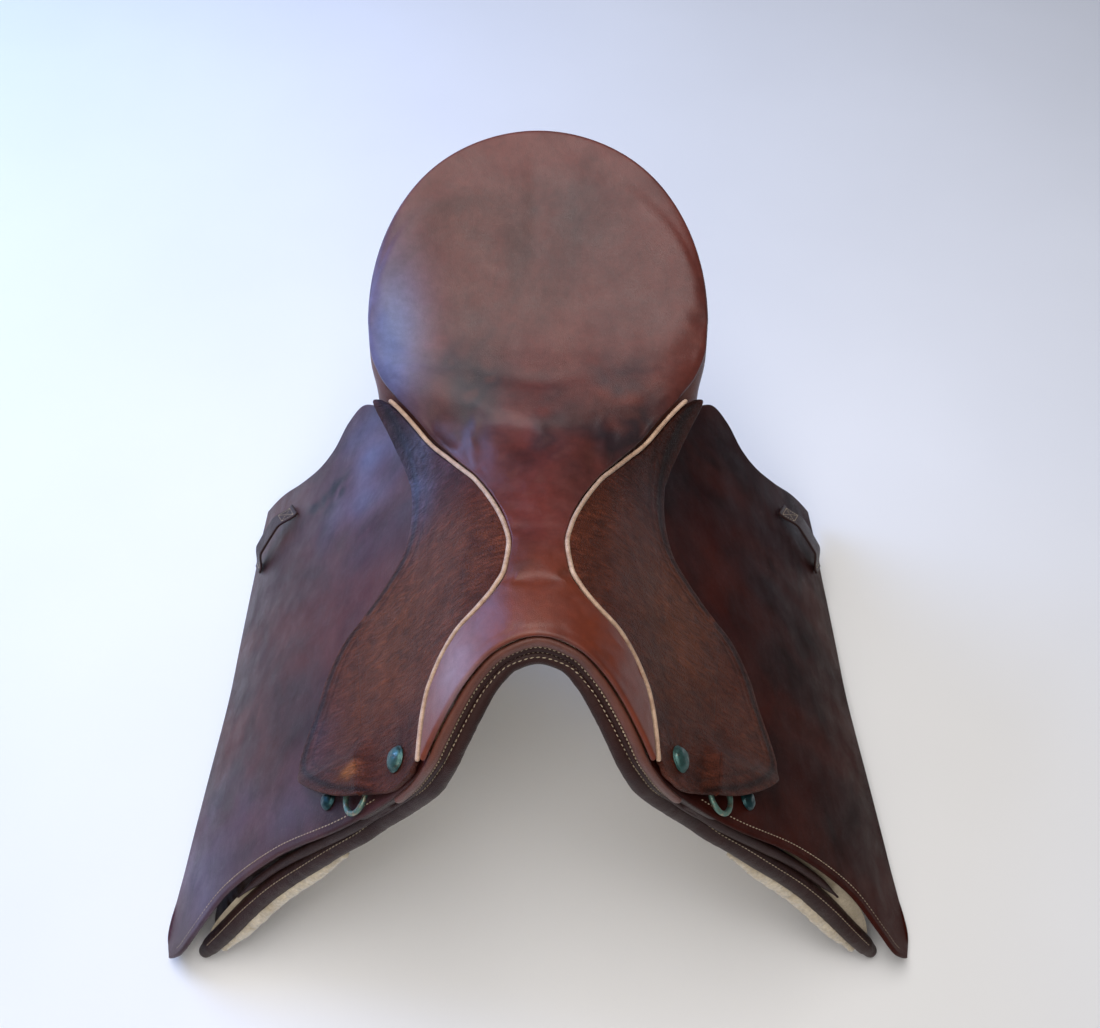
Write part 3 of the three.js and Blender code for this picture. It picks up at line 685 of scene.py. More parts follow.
def blend_hinge(obj, sign, start, end):
    """Bakes the piece's transform into its mesh. The two points from start to end mm outside the hinge line are worked
    out but not used.
    """
    p, q = (place(across_hinge(d) * [sign, 1, 1])[0].tolist() for d in (start, end))
    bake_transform(obj)


# ---------------------------------------------------------------- seat
rim_x = curve([(66, 97), (86, 112), (104, 119.5), (CANTLE_CENTRE_Y, SEAT_HALF_WIDTH)])
seat_edge_y = curve([(0, -193), (0.08, -156), (0.17, -127), (0.24, -112), (0.31, -94), (0.37, -73), (0.43, -55),
                     (0.5, -34), (0.58, -8), (0.66, 22), (0.74, 48), (0.8, 67), (0.87, 86), (0.94, 104), (1, 123)])
seat_mid_y = curve([(0, -141), (0.17, -116), (0.31, -92), (0.43, -54), (0.58, 2), (0.74, 75), (0.87, 150),
                    (0.94, 203), (1, 246)])


def seat_plan(u, v, inset):
    along = lerp(inset / 260, 1 - inset / 90, v)
    across = np.sin((2 * u - 1) * np.pi / 2)
    edge = seat_edge_y(along)
    half = np.where(edge < 66, welt_x(edge), rim_x(edge))
    bow = lerp(np.abs(across) ** 2.05, 1 - np.sqrt(np.maximum(1 - across ** 2, 0)), smooth((along - 0.3) / 0.5))
    return across * np.maximum(half - inset, 4), lerp(seat_mid_y(along), edge, bow)


def seat_colour(p):
    x, y = p[:, 0], p[:, 1]
    big, mid = wobble(p, 0.012, 3), wobble(p, 0.035, 7)
    broken = wobble(p, 0.09, 11)
    base = linear("522722")
    stripe = smooth(1 - np.abs(x + 2) / 26) * smooth((110 - y) / 60) * smooth((y + 110) / 60)
    smudge = (spot(x, y, -52, 70, 30, 58) + spot(x, y, 60, 50, 30, 50) + 0.8 * spot(x, y, 4, 30, 22, 40)
              + 0.5 * spot(x, y, 10, 186, 40, 30))
    smudge = smudge * (0.75 + 0.9 * mid + 0.6 * broken)
    pommel = smooth((-62 - y) / 46) * (0.85 + 0.5 * mid)
    rear = smooth((y - 150) / 60) * (0.4 + 0.6 * big)
    stain = spot(x, y, 14, -96, 14, 9) + spot(x, y, -10, -88, 10, 14)
    # The last two layers are painted light: a pale blue painted reflection of the window light along the near side of
    # the seat's rim, and a pale painted highlight on the near side of the pommel.
    return shade(base, (0.55 + 0.7 * big, linear("5e2a21")), (stripe * 0.75, linear("60261f")),
                 (rear, linear("602a23")), (smudge * 1.1, linear("2b1d21")), (pommel, linear("6a2c16")),
                 (stain * (0.3 + broken), linear("4a2010")), (0.3 * smooth(broken * 2 - 0.3), linear("6a3a30")),
                 (0.8 * spot(x, y, -104, 104, 22, 50), linear("5d6f9a")),
                 (0.5 * spot(x, y, -48, -152, 14, 30), linear("a08c98")))


def make_seat():
    u, v = grid(64, 96, 0.25)
    x, y = seat_plan(u, v, 0.4)
    edge = np.abs(2 * u - 1)
    inner = smooth((1 - edge) / 0.2) * smooth(v / 0.08) * smooth((1 - v) / 0.12)
    thick = 4 + 7.5 * inner
    middle, n = lifted(seat_form, x, y, 5 - thick / 2)
    middle[..., 2] -= 6 * np.maximum(edge ** 10 * smooth((v - 0.75) / 0.12), v ** 28)
    obj = slab("seat_top", middle, thick, "seat", n)
    free = np.zeros(len(obj.data.vertices))
    free[:u.size] = (smooth((1 - edge) / 0.12) * smooth(v / 0.05) * smooth((1 - v) / 0.05)).ravel()
    inflate(obj, 4.0, 1.6, free=free, shrink=-0.006)
    p = plan_of(obj)
    x, y = p[:, 0], p[:, 1]
    relief = 0.45 * wobble(p, 0.02, 1) + 0.22 * wobble(p, 0.07, 5)
    relief -= 0.8 * np.exp(-((x + 1 + 2 * np.sin(y / 25)) / 2.2) ** 2) * smooth((y - 130) / 40)
    slanted = (x + 62) * 0.5 + (y - 170) * 0.87 - 6 * np.sin(x / 30)
    relief -= 0.5 * np.exp(-(slanted / 2.2) ** 2) * spot(x, y, -62, 170, 40)
    shift_along_normals(obj, relief * free)
    subdivide(obj, 1)
    paint(obj, seat_colour(plan_of(obj)))
    seated(obj, "root", "seat_leather", "seat_foam")


make_seat()


def make_welt(name, sign):
    """Covered cord sewn into the seam from nail to cantle rim."""
    path, n = lifted(skin_form, *beside_welt(np.linspace(-191, 68, 260), 2.3), 4.1)
    path = path + n * (0.12 * wobble(path, 0.08, 2))[:, None]
    return tube(f"welt_cord_{name}", path * [sign, 1, 1], 1.55 + 0.08 * wobble(path, 0.15, 9), "piping", 14)


both(make_welt, "root", "welt_{}")


# ---------------------------------------------------------------- flap
flap_front = spline([(96.8, -199), (133, -203), (179, -203), (223, -213), (250, -231), (265, -240), (276, -239)])
flap_lower = spline([(276, -239), (281, -222), (274, -168), (266, -105), (258, -32), (258, 15), (256, 81), (255, 130),
                     (251, 157)])
whole_front = spline([(68.5, -193), (82, -196.5), (96.8, -199), (133, -203), (179, -203), (223, -213), (250, -231),
                      (265, -240), (276, -239)])
whole_rear = spline([(80, 60), (100, 96), (124, 134), (145.8, 156), (158, 150), (170, 134), (184, 128), (205, 133),
                     (228, 146), (251, 157)])
whole_inner = spline([(68.5, -193), (74, -150), (78.5, -60), (80, 60)])
# The stirrup bar's slot in the flap: x from and to, y from and to
SLOT = (92.0, 119.0, -172.0, -78.0)


def flap_colour(p, sign):
    x, y = np.abs(p[:, 0]), p[:, 1]
    big, mid, fine = wobble(p, 0.009, 21 * sign), wobble(p, 0.03, 5 * sign), wobble(p, 0.1, 9)
    # Each layer's near-side colour is lighter than its off-side one: the off side's darkness is painted shade, for the
    # side turned away from the window light.
    base = linear("36181a") if sign < 0 else linear("260a08")
    streak = smooth(0.5 + 1.6 * wobble(np.stack([x * 0.5, y * 1.6, p[:, 2] * 0.5], -1), 0.016, 31 * sign))
    edge = smooth((y + 150) / -50)
    low = smooth((x - 225) / 45) * smooth((-100 - y) / 80)
    colour = shade(base, (0.5 + 0.9 * big, linear("421c1a") if sign < 0 else linear("300e09")),
                   (streak * 0.42, linear("5a2418") if sign < 0 else linear("471a0f")),
                   (0.3 * smooth(mid * 2), linear("24100f")),
                   (edge * (0.25 + 0.5 * mid), linear("4d1e12") if sign < 0 else linear("3a140c")),
                   (low * (0.5 + mid), linear("5c3028") if sign < 0 else linear("3a140e")))
    if sign < 0:
        # Painted reflection: pale blue patches of the window light on the near side's flap.
        window_reflection = spot(x, y, 128, 92, 42, 60) + 0.7 * spot(x, y, 250, -190, 34, 60) + 0.35 * spot(x, y, 170, -170, 40, 30)
        colour = shade(colour, (window_reflection * (0.5 + 0.4 * mid), linear("5f6684")))
        stain = spot(x, y, 162, 84, 12, 12) + 0.8 * spot(x, y, 186, 88, 10, 8)
        weight = np.clip(stain * (0.8 + 1.8 * fine), 0, 0.9)[:, None]
        colour = colour * (1 - weight) + linear("131018") * weight
    return colour


def make_flap():
    uu, vv = grid(110, 190, 0.35, 0.55)
    x, y = np.moveaxis(coons(whole_inner, flap_lower, whole_front, whole_rear, uu, vv), -1, 0)
    sag = 0.6 * wobble(np.stack([x, y, 0 * x], -1), 0.012, 3) * smooth((x - 160) / 60)
    middle, n = lifted(side_form, x, y, -2.6)
    middle = middle + n * sag[..., None]
    middle[..., 2] = np.maximum(middle[..., 2], 6.0)
    return slab("flap_sheet_right", middle, 3.7, "flap", n)


def cut(obj, cutters):
    """Exact boolean differences with temporary cutters."""
    for cutter in cutters:
        modifier = obj.modifiers.new("Cut", "BOOLEAN")
        modifier.operation = "DIFFERENCE"
        modifier.solver = "EXACT"
        modifier.object = cutter
    settle(obj)
    for cutter in cutters:
        bpy.data.meshes.remove(cutter.data)
    return smooth_shaded(obj)


def slot_cutter(x0, x1, y0, y1, radius, low, high):
    """A temporary upright prism over a rectangle with round corners."""
    turn = (np.arange(4)[:, None] + np.linspace(0, 1, 7)) * np.pi / 2
    x = np.array([x1, x0, x0, x1])[:, None] + radius * (np.cos(turn) - [[1], [-1], [-1], [1]])
    y = np.array([y1, y1, y0, y0])[:, None] + radius * (np.sin(turn) - [[1], [1], [-1], [-1]])
    plan = np.stack([x.ravel(), y.ravel()], -1)
    return sweep("cutter", np.stack([np.insert(plan, 2, z, axis=1) for z in (low, high)]), None)


flap_master = cut(make_flap(), [slot_cutter(*SLOT, 5, 150, 300)])
for side_name, sign, sheet in pair(flap_master, "flap_sheet_left"):
    finish(sheet, "flap_off" if sign > 0 else "flap")
    paint(sheet, flap_colour(plan_of(sheet), sign))
    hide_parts(f"flap_{side_name}", f"flap_top_{side_name}")
    blend_hinge(sheet, sign, -9, 9)


def flap_seam(name, sign):
    """One row of stitches 4 mm inside the front edge and round the point."""
    line = flap_front(np.linspace(0.03, 0.955, 220))
    ahead = unit(np.gradient(line, axis=0))
    path, n = lifted(side_form, line[:, 0] - 4.2 * ahead[:, 1], line[:, 1] + 4.2 * ahead[:, 0], -0.75)
    path[:, 2] = np.maximum(path[:, 2], 7.9)
    side = [sign, 1, 1]
    return stitches(f"flap_stitches_{name}", [(path * side, n * side)], 3.4, 2.5, 0.8)


both(flap_seam, "flap_{}")


# ---------------------------------------------------------------- skirt
def lip_lift(x, y):
    return 7 * smooth((-150 - y) / 18) * smooth((np.abs(x) - hinge_x(y)) / 10)


# How far the lip's seam lies outside the hinge line; the nail's x, y, radius and height
SEAM = 8.0
NAIL = (83.0, -181.0, 8.5, 4.5)
seam_out = (across_hinge(SEAM) - across_hinge(0))[:2]
LIP_ENDS = (-192.3, -64.0)
skirt_rim = spline([(105.5, -193.4), (122, -187), (142, -175), (155, -163), (161, -150), (158, -134), (151, -112),
                    (144, -88), (134, -70), (125, -62)])
upper_rear = spline([(125, -62), (104, -44), (91, -28), (86, -8), (86, 16), (90, 38), (100, 54), (114, 72)])
upper_front = spline([(74, -196), (86, -198.5), (97, -195), (105, -193.5)])


def seam_point(t):
    y = lerp(LIP_ENDS[0], LIP_ENDS[1], np.asarray(t, float))
    return np.stack([hinge_x(y) + seam_out[0], y + seam_out[1]], -1)


def upper_outer(t):
    """From the nail's corner along the seam, then round the free rear edge to the seat's rim."""
    t = np.asarray(t, float)
    front = upper_front(np.clip(t / 0.06, 0, 1))
    middle = seam_point(np.clip((t - 0.06) / 0.44, 0, 1))
    rear = upper_rear(np.clip((t - 0.5) / 0.5, 0, 1))
    middle = middle + (1 - smooth((t - 0.06) / 0.02))[..., None] * (upper_front(np.array(1.0)) - seam_point(0.0))
    middle = middle + smooth((t - 0.48) / 0.02)[..., None] * (upper_rear(np.array(0.0)) - seam_point(1.0))
    out = np.where((t < 0.06)[..., None], front, middle)
    return np.where((t >= 0.5)[..., None], rear, out)


rim_points = np.vstack([skirt_rim(np.linspace(0, 1, 160)), upper_rear(np.linspace(0.05, 1, 120))])


def rim_distance(x, y):
    """How far plan points are from the skirt's free edge."""
    flat = np.stack([np.ravel(x), np.ravel(y)], -1)
    nearest = np.full(len(flat), 1e9)
    for point in rim_points:
        nearest = np.minimum(nearest, np.sum((flat - point) ** 2, axis=1))
    return np.sqrt(nearest).reshape(np.shape(x))


def skirt_relief(x, y):
    """Puckers round the nail, the soft fold over the stirrup bar and the raised double line inside the lip."""
    p = np.stack([x, y, 0 * x], -1)
    angle = np.arctan2(y - NAIL[1], x - NAIL[0])
    radius = np.hypot(x - NAIL[0], y - NAIL[1])
    pucker = 0.5 * np.sin(angle * 13 + 2.2 * wobble(p, 0.05, 3)) * np.exp(-((radius - 17) / 9) ** 2)
    fold = 1.1 * np.exp(-((x - 112 - 0.1 * y) / 15) ** 2) * smooth((-60 - y) / 40)
    front = 0.35 + 0.65 * smooth((-70 - y) / 50)
    ripple = front * 0.6 * wobble(np.stack([x * 0.3 - 0.15 * y, y, 0 * x], -1), 0.2, 8)
    border = rim_distance(x, y)
    lines = 0.5 * np.exp(-((border - 5.6) / 1.0) ** 2) + 0.35 * np.exp(-((border - 9.4) / 0.9) ** 2)
    return pucker + fold + ripple + 0.5 * wobble(p, 0.025, 2) + lines


def skirt_slab(name, plan, base):
    x, y = np.moveaxis(plan, -1, 0)
    middle, n = lifted(base, x, y, 2.65 + lip_lift(x, y) + np.maximum(skirt_relief(x, y), -0.1) * 0.55)
    return slab(name, middle, 3.7, "skirt", n)


def flatten_rim(obj, shape, border):
    """Pulls the rounded rim of a slab back onto its border, so two pieces meet face to face."""
    co = plan_of(obj)
    total = shape[0] * shape[1]
    rim = np.tile(sheet_faces(*shape)[1], 3)
    held = np.isin(rim, border)
    at = 2 * total + np.nonzero(held)[0]
    top, across = co[rim[held]], co[rim[held] + total] - co[rim[held]]
    share = np.sum((co[at] - top) * across, axis=1) / np.sum(across * across, axis=1)
    co[at] = top + across * np.clip(share, 0, 1)[:, None]
    return move(obj, co)


def skirt_colour(p, sign):
    x, y = np.abs(p[:, 0]), p[:, 1]
    big, mid, fine = wobble(p, 0.014, 4 * sign), wobble(p, 0.045, 6 * sign), wobble(p, 0.12, 2)
    # The off side's base and rear colours are darker than the near side's: painted shade for the side turned away from
    # the window light.
    base = linear("52261a") if sign < 0 else linear("4a2015")
    border = rim_distance(x, y)
    centre = spot(x, y, 92, -86, 34, 60)
    rear = smooth((y + 40) / 60)
    front = smooth((-138 - y) / 30)
    colour = shade(base, (0.5 + 0.8 * big, linear("5e2f1e")), (centre * 0.7, linear("6b3a20")),
                   (rear * 0.75, linear("48272a") if sign < 0 else linear("3a1c18")),
                   (front * (0.55 + 0.6 * mid), linear("49241a")), (0.35 * smooth(fine * 2), linear("34170f")),
                   (0.85 * np.exp(-(border / 2.4) ** 2), linear("160806")),
                   (0.4 * np.exp(-((border - 7.6) / 1.1) ** 2), linear("24100b")))
    if sign < 0:
        worn = 0.55 * spot(x, y, 121, -176, 6, 5) * (0.8 + 1.2 * fine)
        # Painted reflection: pale blue patches of the window light on the near side's skirt.
        window_reflection = spot(x, y, 92, 30, 26, 40) + 0.35 * spot(x, y, 150, -140, 14, 30)
        colour = shade(colour, (window_reflection * (0.55 + 0.4 * mid), linear("56607c")), (worn, linear("b0682c")))
    return colour


def make_skirt():
    """The part sewn to the seat, and the lip that lifts."""
    u, v = grid(72, 240)
    inner = np.stack(beside_welt(lerp(-190.5, 73, v), 4.2), -1)
    upper = skirt_slab("skirt_upper_right", lerp(inner, upper_outer(v), u[..., None]), skin_form)
    seam = np.arange(u.size).reshape(u.shape)[-1]
    flatten_rim(upper, u.shape, seam[(v[0] > 0.075) & (v[0] < 0.485)])
    u, v = grid(46, 130, 0, 0.3)
    lip = skirt_slab("skirt_lip_right", lerp(seam_point(v), skirt_rim(v), u[..., None]), side_form)
    flatten_rim(lip, u.shape, np.arange(u.shape[1]))
    return upper, lip


upper_master, lip_master = make_skirt()
for side_name, sign, sheet in pair(upper_master, "skirt_upper_left") + pair(lip_master, "skirt_lip_left"):
    finish(sheet, "skirt")
    paint(sheet, skirt_colour(plan_of(sheet), sign))
    if "upper" in sheet.name:
        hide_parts(f"skirt_top_{side_name}")
        blend_hinge(sheet, sign, -SEAM, SEAM)
    else:
        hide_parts(f"skirt_{side_name}")
        blend_hinge(sheet, sign, SEAM, SEAM + 16)


# ---------------------------------------------------------------- metal fittings
# x, y, radius and height of the stud; x, y, ring radius and wire radius of the dee
STUD = (138.0, -182.0, 7.0, 4.0)
DEE = (115.0, -178.0, 11.0, 1.8)


def dome(name, place_and_radius, height, lift, key, sign, seed):
    """A tarnished low dome with a rolled edge, square to the flap's form."""
    x, y, radius = place_and_radius
    rows = [(radius * 0.9, -0.2), (radius * 0.99, 0.1), (radius, 0.45), (radius * 0.985, 0.85), (radius * 0.93, 1.1)]
    for k in range(1, 12):
        a = k * math.pi / 24
        rows.append((radius * 0.9 * math.cos(a), 1.0 + (height - 1.0) * math.sin(a)))
    p, _, n = frame_at(x, y, lift)
    return lathe(name, rows + [(0.15, height)], p * [sign, 1, 1], n * [sign, 1, 1], key, dent=0.35, seed=seed)


def make_nail(name, sign):
    return dome(f"nail_{name}", NAIL[:3], NAIL[3] + 0.6, 5.2, "verdigris", sign, sign)


def make_stud(name, sign):
    return dome(f"stud_{name}", STUD[:3], STUD[3], 0.05, "dark_verdigris", sign, 3 * sign)


both(make_nail, "root", "saddle_nail_{}")
both(make_stud, "flap_{}", "point_stud_{}")


def make_dee(name, sign):
    p, down, _ = frame_at(DEE[0], DEE[1], 2.2)
    angle = np.linspace(0, 2 * np.pi, 72, endpoint=False)[:, None]
    radius = DEE[2] + 0.15 * np.sin(3 * angle)
    path = p + np.cos(angle) * radius * down + (np.sin(angle) * radius - DEE[2]) * [0, 1, 0]
    wire = DEE[3] + 0.1 * np.sin(5 * angle[:, 0])
    return tube(f"dee_{name}", path * [sign, 1, 1], wire, "pale_verdigris", 14, closed=True)


both(make_dee, "dee_{}", "dee_ring_{}")


def make_chape(name, sign):
    u, v = grid(10, 24, 0.3)
    y = lerp(-181.5, -166, v)
    return sheet_on(f"chape_{name}", lerp(DEE[0] - 5, DEE[0] + 5, u), y, 0.85 + 4.2 * smooth((-170 - y) / 5), 1.1,
                    "dark", sign)


both(make_chape, "flap_{}", "dee_chape_{}")


# ---------------------------------------------------------------- keeper
KEEPER = ((206.0, 106.0), (246.0, 86.0))


def keeper_plan(u, v):
    wide = lerp(-9, 9, u)
    return (lerp(KEEPER[0][0], KEEPER[1][0], v) - wide * 0.43, lerp(KEEPER[0][1], KEEPER[1][1], v) - wide * 0.9)


def keeper_lift(v):
    return 0.35 + 7.8 * smooth(np.minimum(v, 1 - v) / 0.3)


def make_keeper(name, sign):
    u, v = grid(22, 70, 0.2)
    return sheet_on(f"keeper_strap_{name}", *keeper_plan(u, v), keeper_lift(v) + 1.15 + 0.12 * np.sin(u * np.pi), 2.2,
                    "dark", sign)


both(make_keeper, "flap_{}", "keeper_{}")


def keeper_seams(name, sign):
    """A crossed box of stitches at one end of the keeper and three rows at the other."""
    lines = []
    for u0, v0, u1, v1 in ((0.12, 0.03, 0.12, 0.19), (0.88, 0.03, 0.88, 0.19), (0.12, 0.035, 0.88, 0.035),
                           (0.12, 0.19, 0.88, 0.19), (0.12, 0.19, 0.88, 0.035), (0.12, 0.035, 0.88, 0.19),
                           (0.12, 0.955, 0.88, 0.955), (0.12, 0.86, 0.12, 0.955), (0.88, 0.86, 0.88, 0.955)):
        u, v = np.linspace(u0, u1, 12), np.linspace(v0, v1, 12)
        lines.append([p * [sign, 1, 1] for p in lifted(side_form, *keeper_plan(u, v), keeper_lift(v) + 2.3)])
    return stitches(f"keeper_stitches_{name}", lines, 2.2, 1.6, 0.6, sink=0.1)


both(keeper_seams, "flap_{}")


# ---------------------------------------------------------------- pommel arch and rolled front edge
arch_front = curve([(0, -142), (22, -148.5), (28, -152), (38, -159.5), (50, -171.5), (60, -184), (68, -190),
                    (94, -196)])
SEAM_STATIONS = [(0, -142, 335.5), (22, -147.5, 330), (38, -158.5, 317.5), (50, -170.5, 302.5), (60, -184, 287),
                 (67, -194, 273), (80, -200, 248), (97, -202.5, 223), (115, -204, 201), (133, -205, 182),
                 (155, -205, 158)]
ROLL_STATIONS = [(0, -143.9, 315.8), (14.8, -147.4, 313.7), (27, -157, 305.5), (38.1, -170.8, 291.1),
                 (47.3, -182.9, 275.1), (54, -189.5, 261), (66, -194, 237), (80, -193.7, 215), (98.3, -194.2, 190),
                 (114.2, -197.9, 172), (131.7, -200.6, 154), (153, -204, 130), (180, -209, 100), (205, -217, 70),
                 (226, -225.5, 42), (242, -231, 20), (249, -233.1, 9.5)]
roll_radius = curve([(0, 5), (45, 5.1), (55, 5.8), (66, 6.8), (80, 7.8), (98, 8), (210, 8), (249, 7)])


def mirrored_line(stations):
    """A smooth line through stations and their mirror images, as a function of the signed station number."""
    p = np.array(stations, float)
    whole = np.vstack([p[:0:-1] * [-1, 1, 1], p])
    number = np.arange(len(whole)) - (len(p) - 1)
    parts = [curve(list(zip(number, whole[:, k]))) for k in range(3)]
    return lambda s: np.stack([part(s) for part in parts], -1)


seam_line, roll_centre = mirrored_line(SEAM_STATIONS), mirrored_line(ROLL_STATIONS)


def arch_strip(near, far, reach, count=300):
    """Centre line, outward normals and width of a band between two shares of the way from seat edge to roll."""
    s = np.linspace(-reach, reach, count)
    top, bottom = seam_line(s), roll_centre(s)
    crowd = 1 - 0.13 * smooth((np.abs(s) / 10 - 0.4) / 0.2)
    centre = lerp(top, bottom, ((near + far) / 2 * crowd)[:, None])
    out = unit(np.cross(np.gradient(centre, axis=0), bottom - top))
    out *= -np.sign(out[:, 1:2])
    return centre, out, np.linalg.norm(bottom - top, axis=1) * (far - near) * crowd


def make_arch():
    path, out, wide = arch_strip(0.02, 0.44, 6.6)
    path = path + out * (0.3 * wobble(path, 0.05, 4))[:, None]
    seated(bead("arch_fold", path, out, 2.3, wide / 2, "brown", 18, 2.3), "root", "arch_facing")
    path, out, wide = arch_strip(0.47, 0.71, 7.8)
    path = path + out * (0.25 * wobble(path, 0.06, 8))[:, None]
    seated(bead("arch_band", path, out, 1.9, wide / 2, "dark", 18, 3.0), "root", "arch_binding")
    path, out, wide = arch_strip(0.05, 0.86, 8.0)
    seated(bead("arch_backing", path - out * 1.6, out, 0.9, wide / 2, "panel", 12, 3.0), "root")
    for name, at, reach, lift in (("arch_stitches_upper", 0.455, 6.6, 0.7), ("arch_stitches_lower", 0.725, 8.0, 0.5)):
        path, out, _ = arch_strip(at - 0.01, at + 0.01, reach)
        seated(stitches(name, [(path + out * lift, out)], 2.8, 2.2, 1.0, sink=0.05), "root")


make_arch()


def make_roll():
    """The panel's rolled front edge in one piece, and the row of stitches along its outer side."""
    path = spline(roll_centre(np.linspace(-16, 16, 120)))(np.linspace(0, 1, 620))
    t = np.linspace(0, 1, len(path))
    plain = roll_radius(np.abs(path[:, 0])) - 0.1
    radius = plain + 0.3 * wobble(path, 0.03, 6) + 0.12 * wobble(path, 0.2, 1)
    obj = tube("panel_roll", path, radius * lerp(0.8, 1, smooth(np.minimum(t, 1 - t) / 0.015)), "dark", 28)
    p = plan_of(obj)
    shift_along_normals(obj, 0.18 * wobble(p, 0.16, 3) + 0.1 * wobble(p, 0.4, 9))
    seated(obj, "root", "front_roll_left", "front_roll_right")
    out = unit(np.cross(unit(np.gradient(path, axis=0)), [0.0, 1.0, 0.25]))
    out = out * np.sign(out[:, 2:3]) * 0.9 + [0.0, -0.43, 0.0]
    keep = slice(12, -12)
    seam = [((path + out * plain[:, None])[keep], out[keep])]
    seated(stitches("roll_stitches", seam, 3.6, 2.4, 0.7, sink=0.15), "root")


make_roll()


def roll_at(x):
    """Points on the roll's centre line at distances out from the middle."""
    return roll_centre(np.interp(x, [p[0] for p in ROLL_STATIONS], np.arange(len(ROLL_STATIONS))))


def make_panel_lip(name, sign):
    """A second rounded edge between the flap's front edge and the roll."""
    x = np.linspace(92, 214, 160)
    y = np.interp(x, *flap_front(np.linspace(0, 1, 200)).T)
    flap_edge = np.stack([x, y + 1, side_form(x, y) - 8], -1)
    path = lerp(roll_at(x) + [0.0, 2.0, 6.0], flap_edge, 0.5)
    t = np.linspace(0, 1, len(path))
    radius = lerp(5.2, 2.6, t) * lerp(0.3, 1, smooth((1 - t) / 0.12)) + 0.15 * wobble(path, 0.06, 5)
    return tube(f"panel_lip_{name}", path * [sign, 1, 1], radius, "dark", 20)


both(make_panel_lip, "root")


# ---------------------------------------------------------------- panels, pads and lining
panel_fall = curve([(100, 126), (150, 182), (190, 226), (220, 268), (240, 312), (249, 335), (252, 336)])
panel_inner = curve([(100, 160), (150, 220), (190, 270), (215, 312), (226, 335), (252, 336)])


def panel_form(x, y):
    return np.maximum(POMMEL_HEIGHT - panel_fall(x) - steeper(x, y), 8)


def panel_back(x, y):
    return np.maximum(POMMEL_HEIGHT - panel_inner(x) - steeper(x, y), 0)


def closed_sheet(name, x, y, top, bottom):
    """A closed form between two heights over a plan grid."""
    points = np.vstack([np.stack([x, y, z], -1).reshape(-1, 3) for z in (top, bottom)])
    faces, rim = sheet_faces(*x.shape)
    return outward(new_object(name, place(points), np.vstack([faces, band(rim, rim + x.size)])))


def above_floor(obj, height):
    return move(obj, np.maximum(plan_of(obj), [-1e9, -1e9, height]))


panel_plan_edges = [spline(points) for points in (
    [(112, -186.5), (112, 128)], [(248, -223), (248, -60), (248, 140)],
    [(112, -186.5), (160, -193), (205, -205), (248, -223)], [(112, 128), (160, 128), (205, 130), (248, 140)])]


def make_panel_flap():
    x, y = np.moveaxis(coons(*panel_plan_edges, *grid(46, 90)), -1, 0)
    top, bottom = panel_form(x, y), panel_back(x, y)
    half = np.maximum((top - bottom) / 2 - 1.2, 2.6)
    middle = np.maximum((top + bottom) / 2, half + 0.9)
    obj = closed_sheet("panel_flap_right_pad", x, y, middle + half, middle - half)
    smooth_shaded(remesh(obj, 5.0))
    above_floor(inflate(obj, 4.0, 1.6), 0.05)
    subdivide(obj, 1)
    p = plan_of(obj)
    quilt = np.exp(-(np.minimum(np.abs((p[:, 1] + 226 + 0.1 * p[:, 0]) % 58 - 29), 29) / 2.6) ** 2)
    top_side = smooth((p[:, 2] - panel_back(p[:, 0], p[:, 1])) / 12)
    shift_along_normals(obj, -1.1 * quilt * top_side + 0.35 * wobble(p, 0.05, 4))
    return smooth_shaded(above_floor(obj, 0.02))


def under(depth, rear_depth, x, y):
    """Heights under the flap's form, rising at the rear to follow the seat."""
    follow = lifted(side_form, x, y, depth)[0][..., 2]
    inside = 68 + 0.69 * np.maximum(y - 60, 0)
    rise = smooth((y + 10) / 110) * smooth((inside - x) / 34)
    return lerp(follow, seat_form(x, y) + rear_depth, rise)


def make_pad():
    uu, vv = grid(40, 110, 0.4)
    y = lerp(-140, 232, vv)
    inner = 24 + 6 * smooth((y - 100) / 100)
    rounded = np.sqrt(np.maximum(1 - np.maximum((y - CANTLE_CENTRE_Y) / 116, 0) ** 2, 0.05))
    x = lerp(inner, np.maximum(111.4 * rounded, inner + 20), uu)
    y = y + (arch_front(np.abs(x)) + 26 - y) * (1 - vv) ** 6
    top = under(-29.5, -36, x, y)
    depth = 12 + 26 * np.sin(np.pi * lerp(0.12, 0.88, uu)) ** 0.7 * np.sin(np.pi * lerp(0.1, 0.92, vv)) ** 0.5
    obj = closed_sheet("panel_pad_right_wool", x, y, top - 1.5, top - depth + 2.5)
    inflate(remesh(obj, 5.0), 4.0, 5.0)
    subdivide(obj, 1)
    p = plan_of(obj)
    seam = np.exp(-((p[:, 0] - 68 - 5 * np.sin(p[:, 1] / 60)) / 2.0) ** 2)
    lumps = 0.9 * wobble(p, 0.02, 5) + 0.3 * wobble(p, 0.07, 3)
    return smooth_shaded(shift_along_normals(obj, lumps - 0.9 * seam))


def make_lining():
    edges = [spline(points) for points in (
        [(118, -178), (118, 118)], [(206, -197), (206, -60), (206, 118)],
        [(118, -178), (160, -185), (206, -197)], [(118, 118), (160, 118), (206, 118)])]
    x, y = np.moveaxis(coons(*edges, *grid(90, 210, 0.2)), -1, 0)
    back = panel_back(x, y)
    obj = closed_sheet("lining_right_fleece", x, y, back - 1.5, back - 5.0)
    p = plan_of(obj)
    tufts = 0.9 * np.abs(wobble(p, 0.11, 6)) + 0.7 * wobble(p, 0.28, 2)
    return smooth_shaded(shift_along_normals(obj, np.clip(tufts, -0.4, 1.4)))


for master, near_name, key, node, fill in (
        (make_panel_flap(), "panel_flap_left_pad", "panel", "panel_flap_{}", 0.5),
        (make_pad(), "panel_pad_left_wool", "wool", "panel_pad_{}", 0.75),
        (make_lining(), "lining_left_fleece", "wool", "lining_{}", 0.5)):
    for side_name, sign, obj in pair(master, near_name):
        seated(finish(obj, key), "root", node.format(side_name))


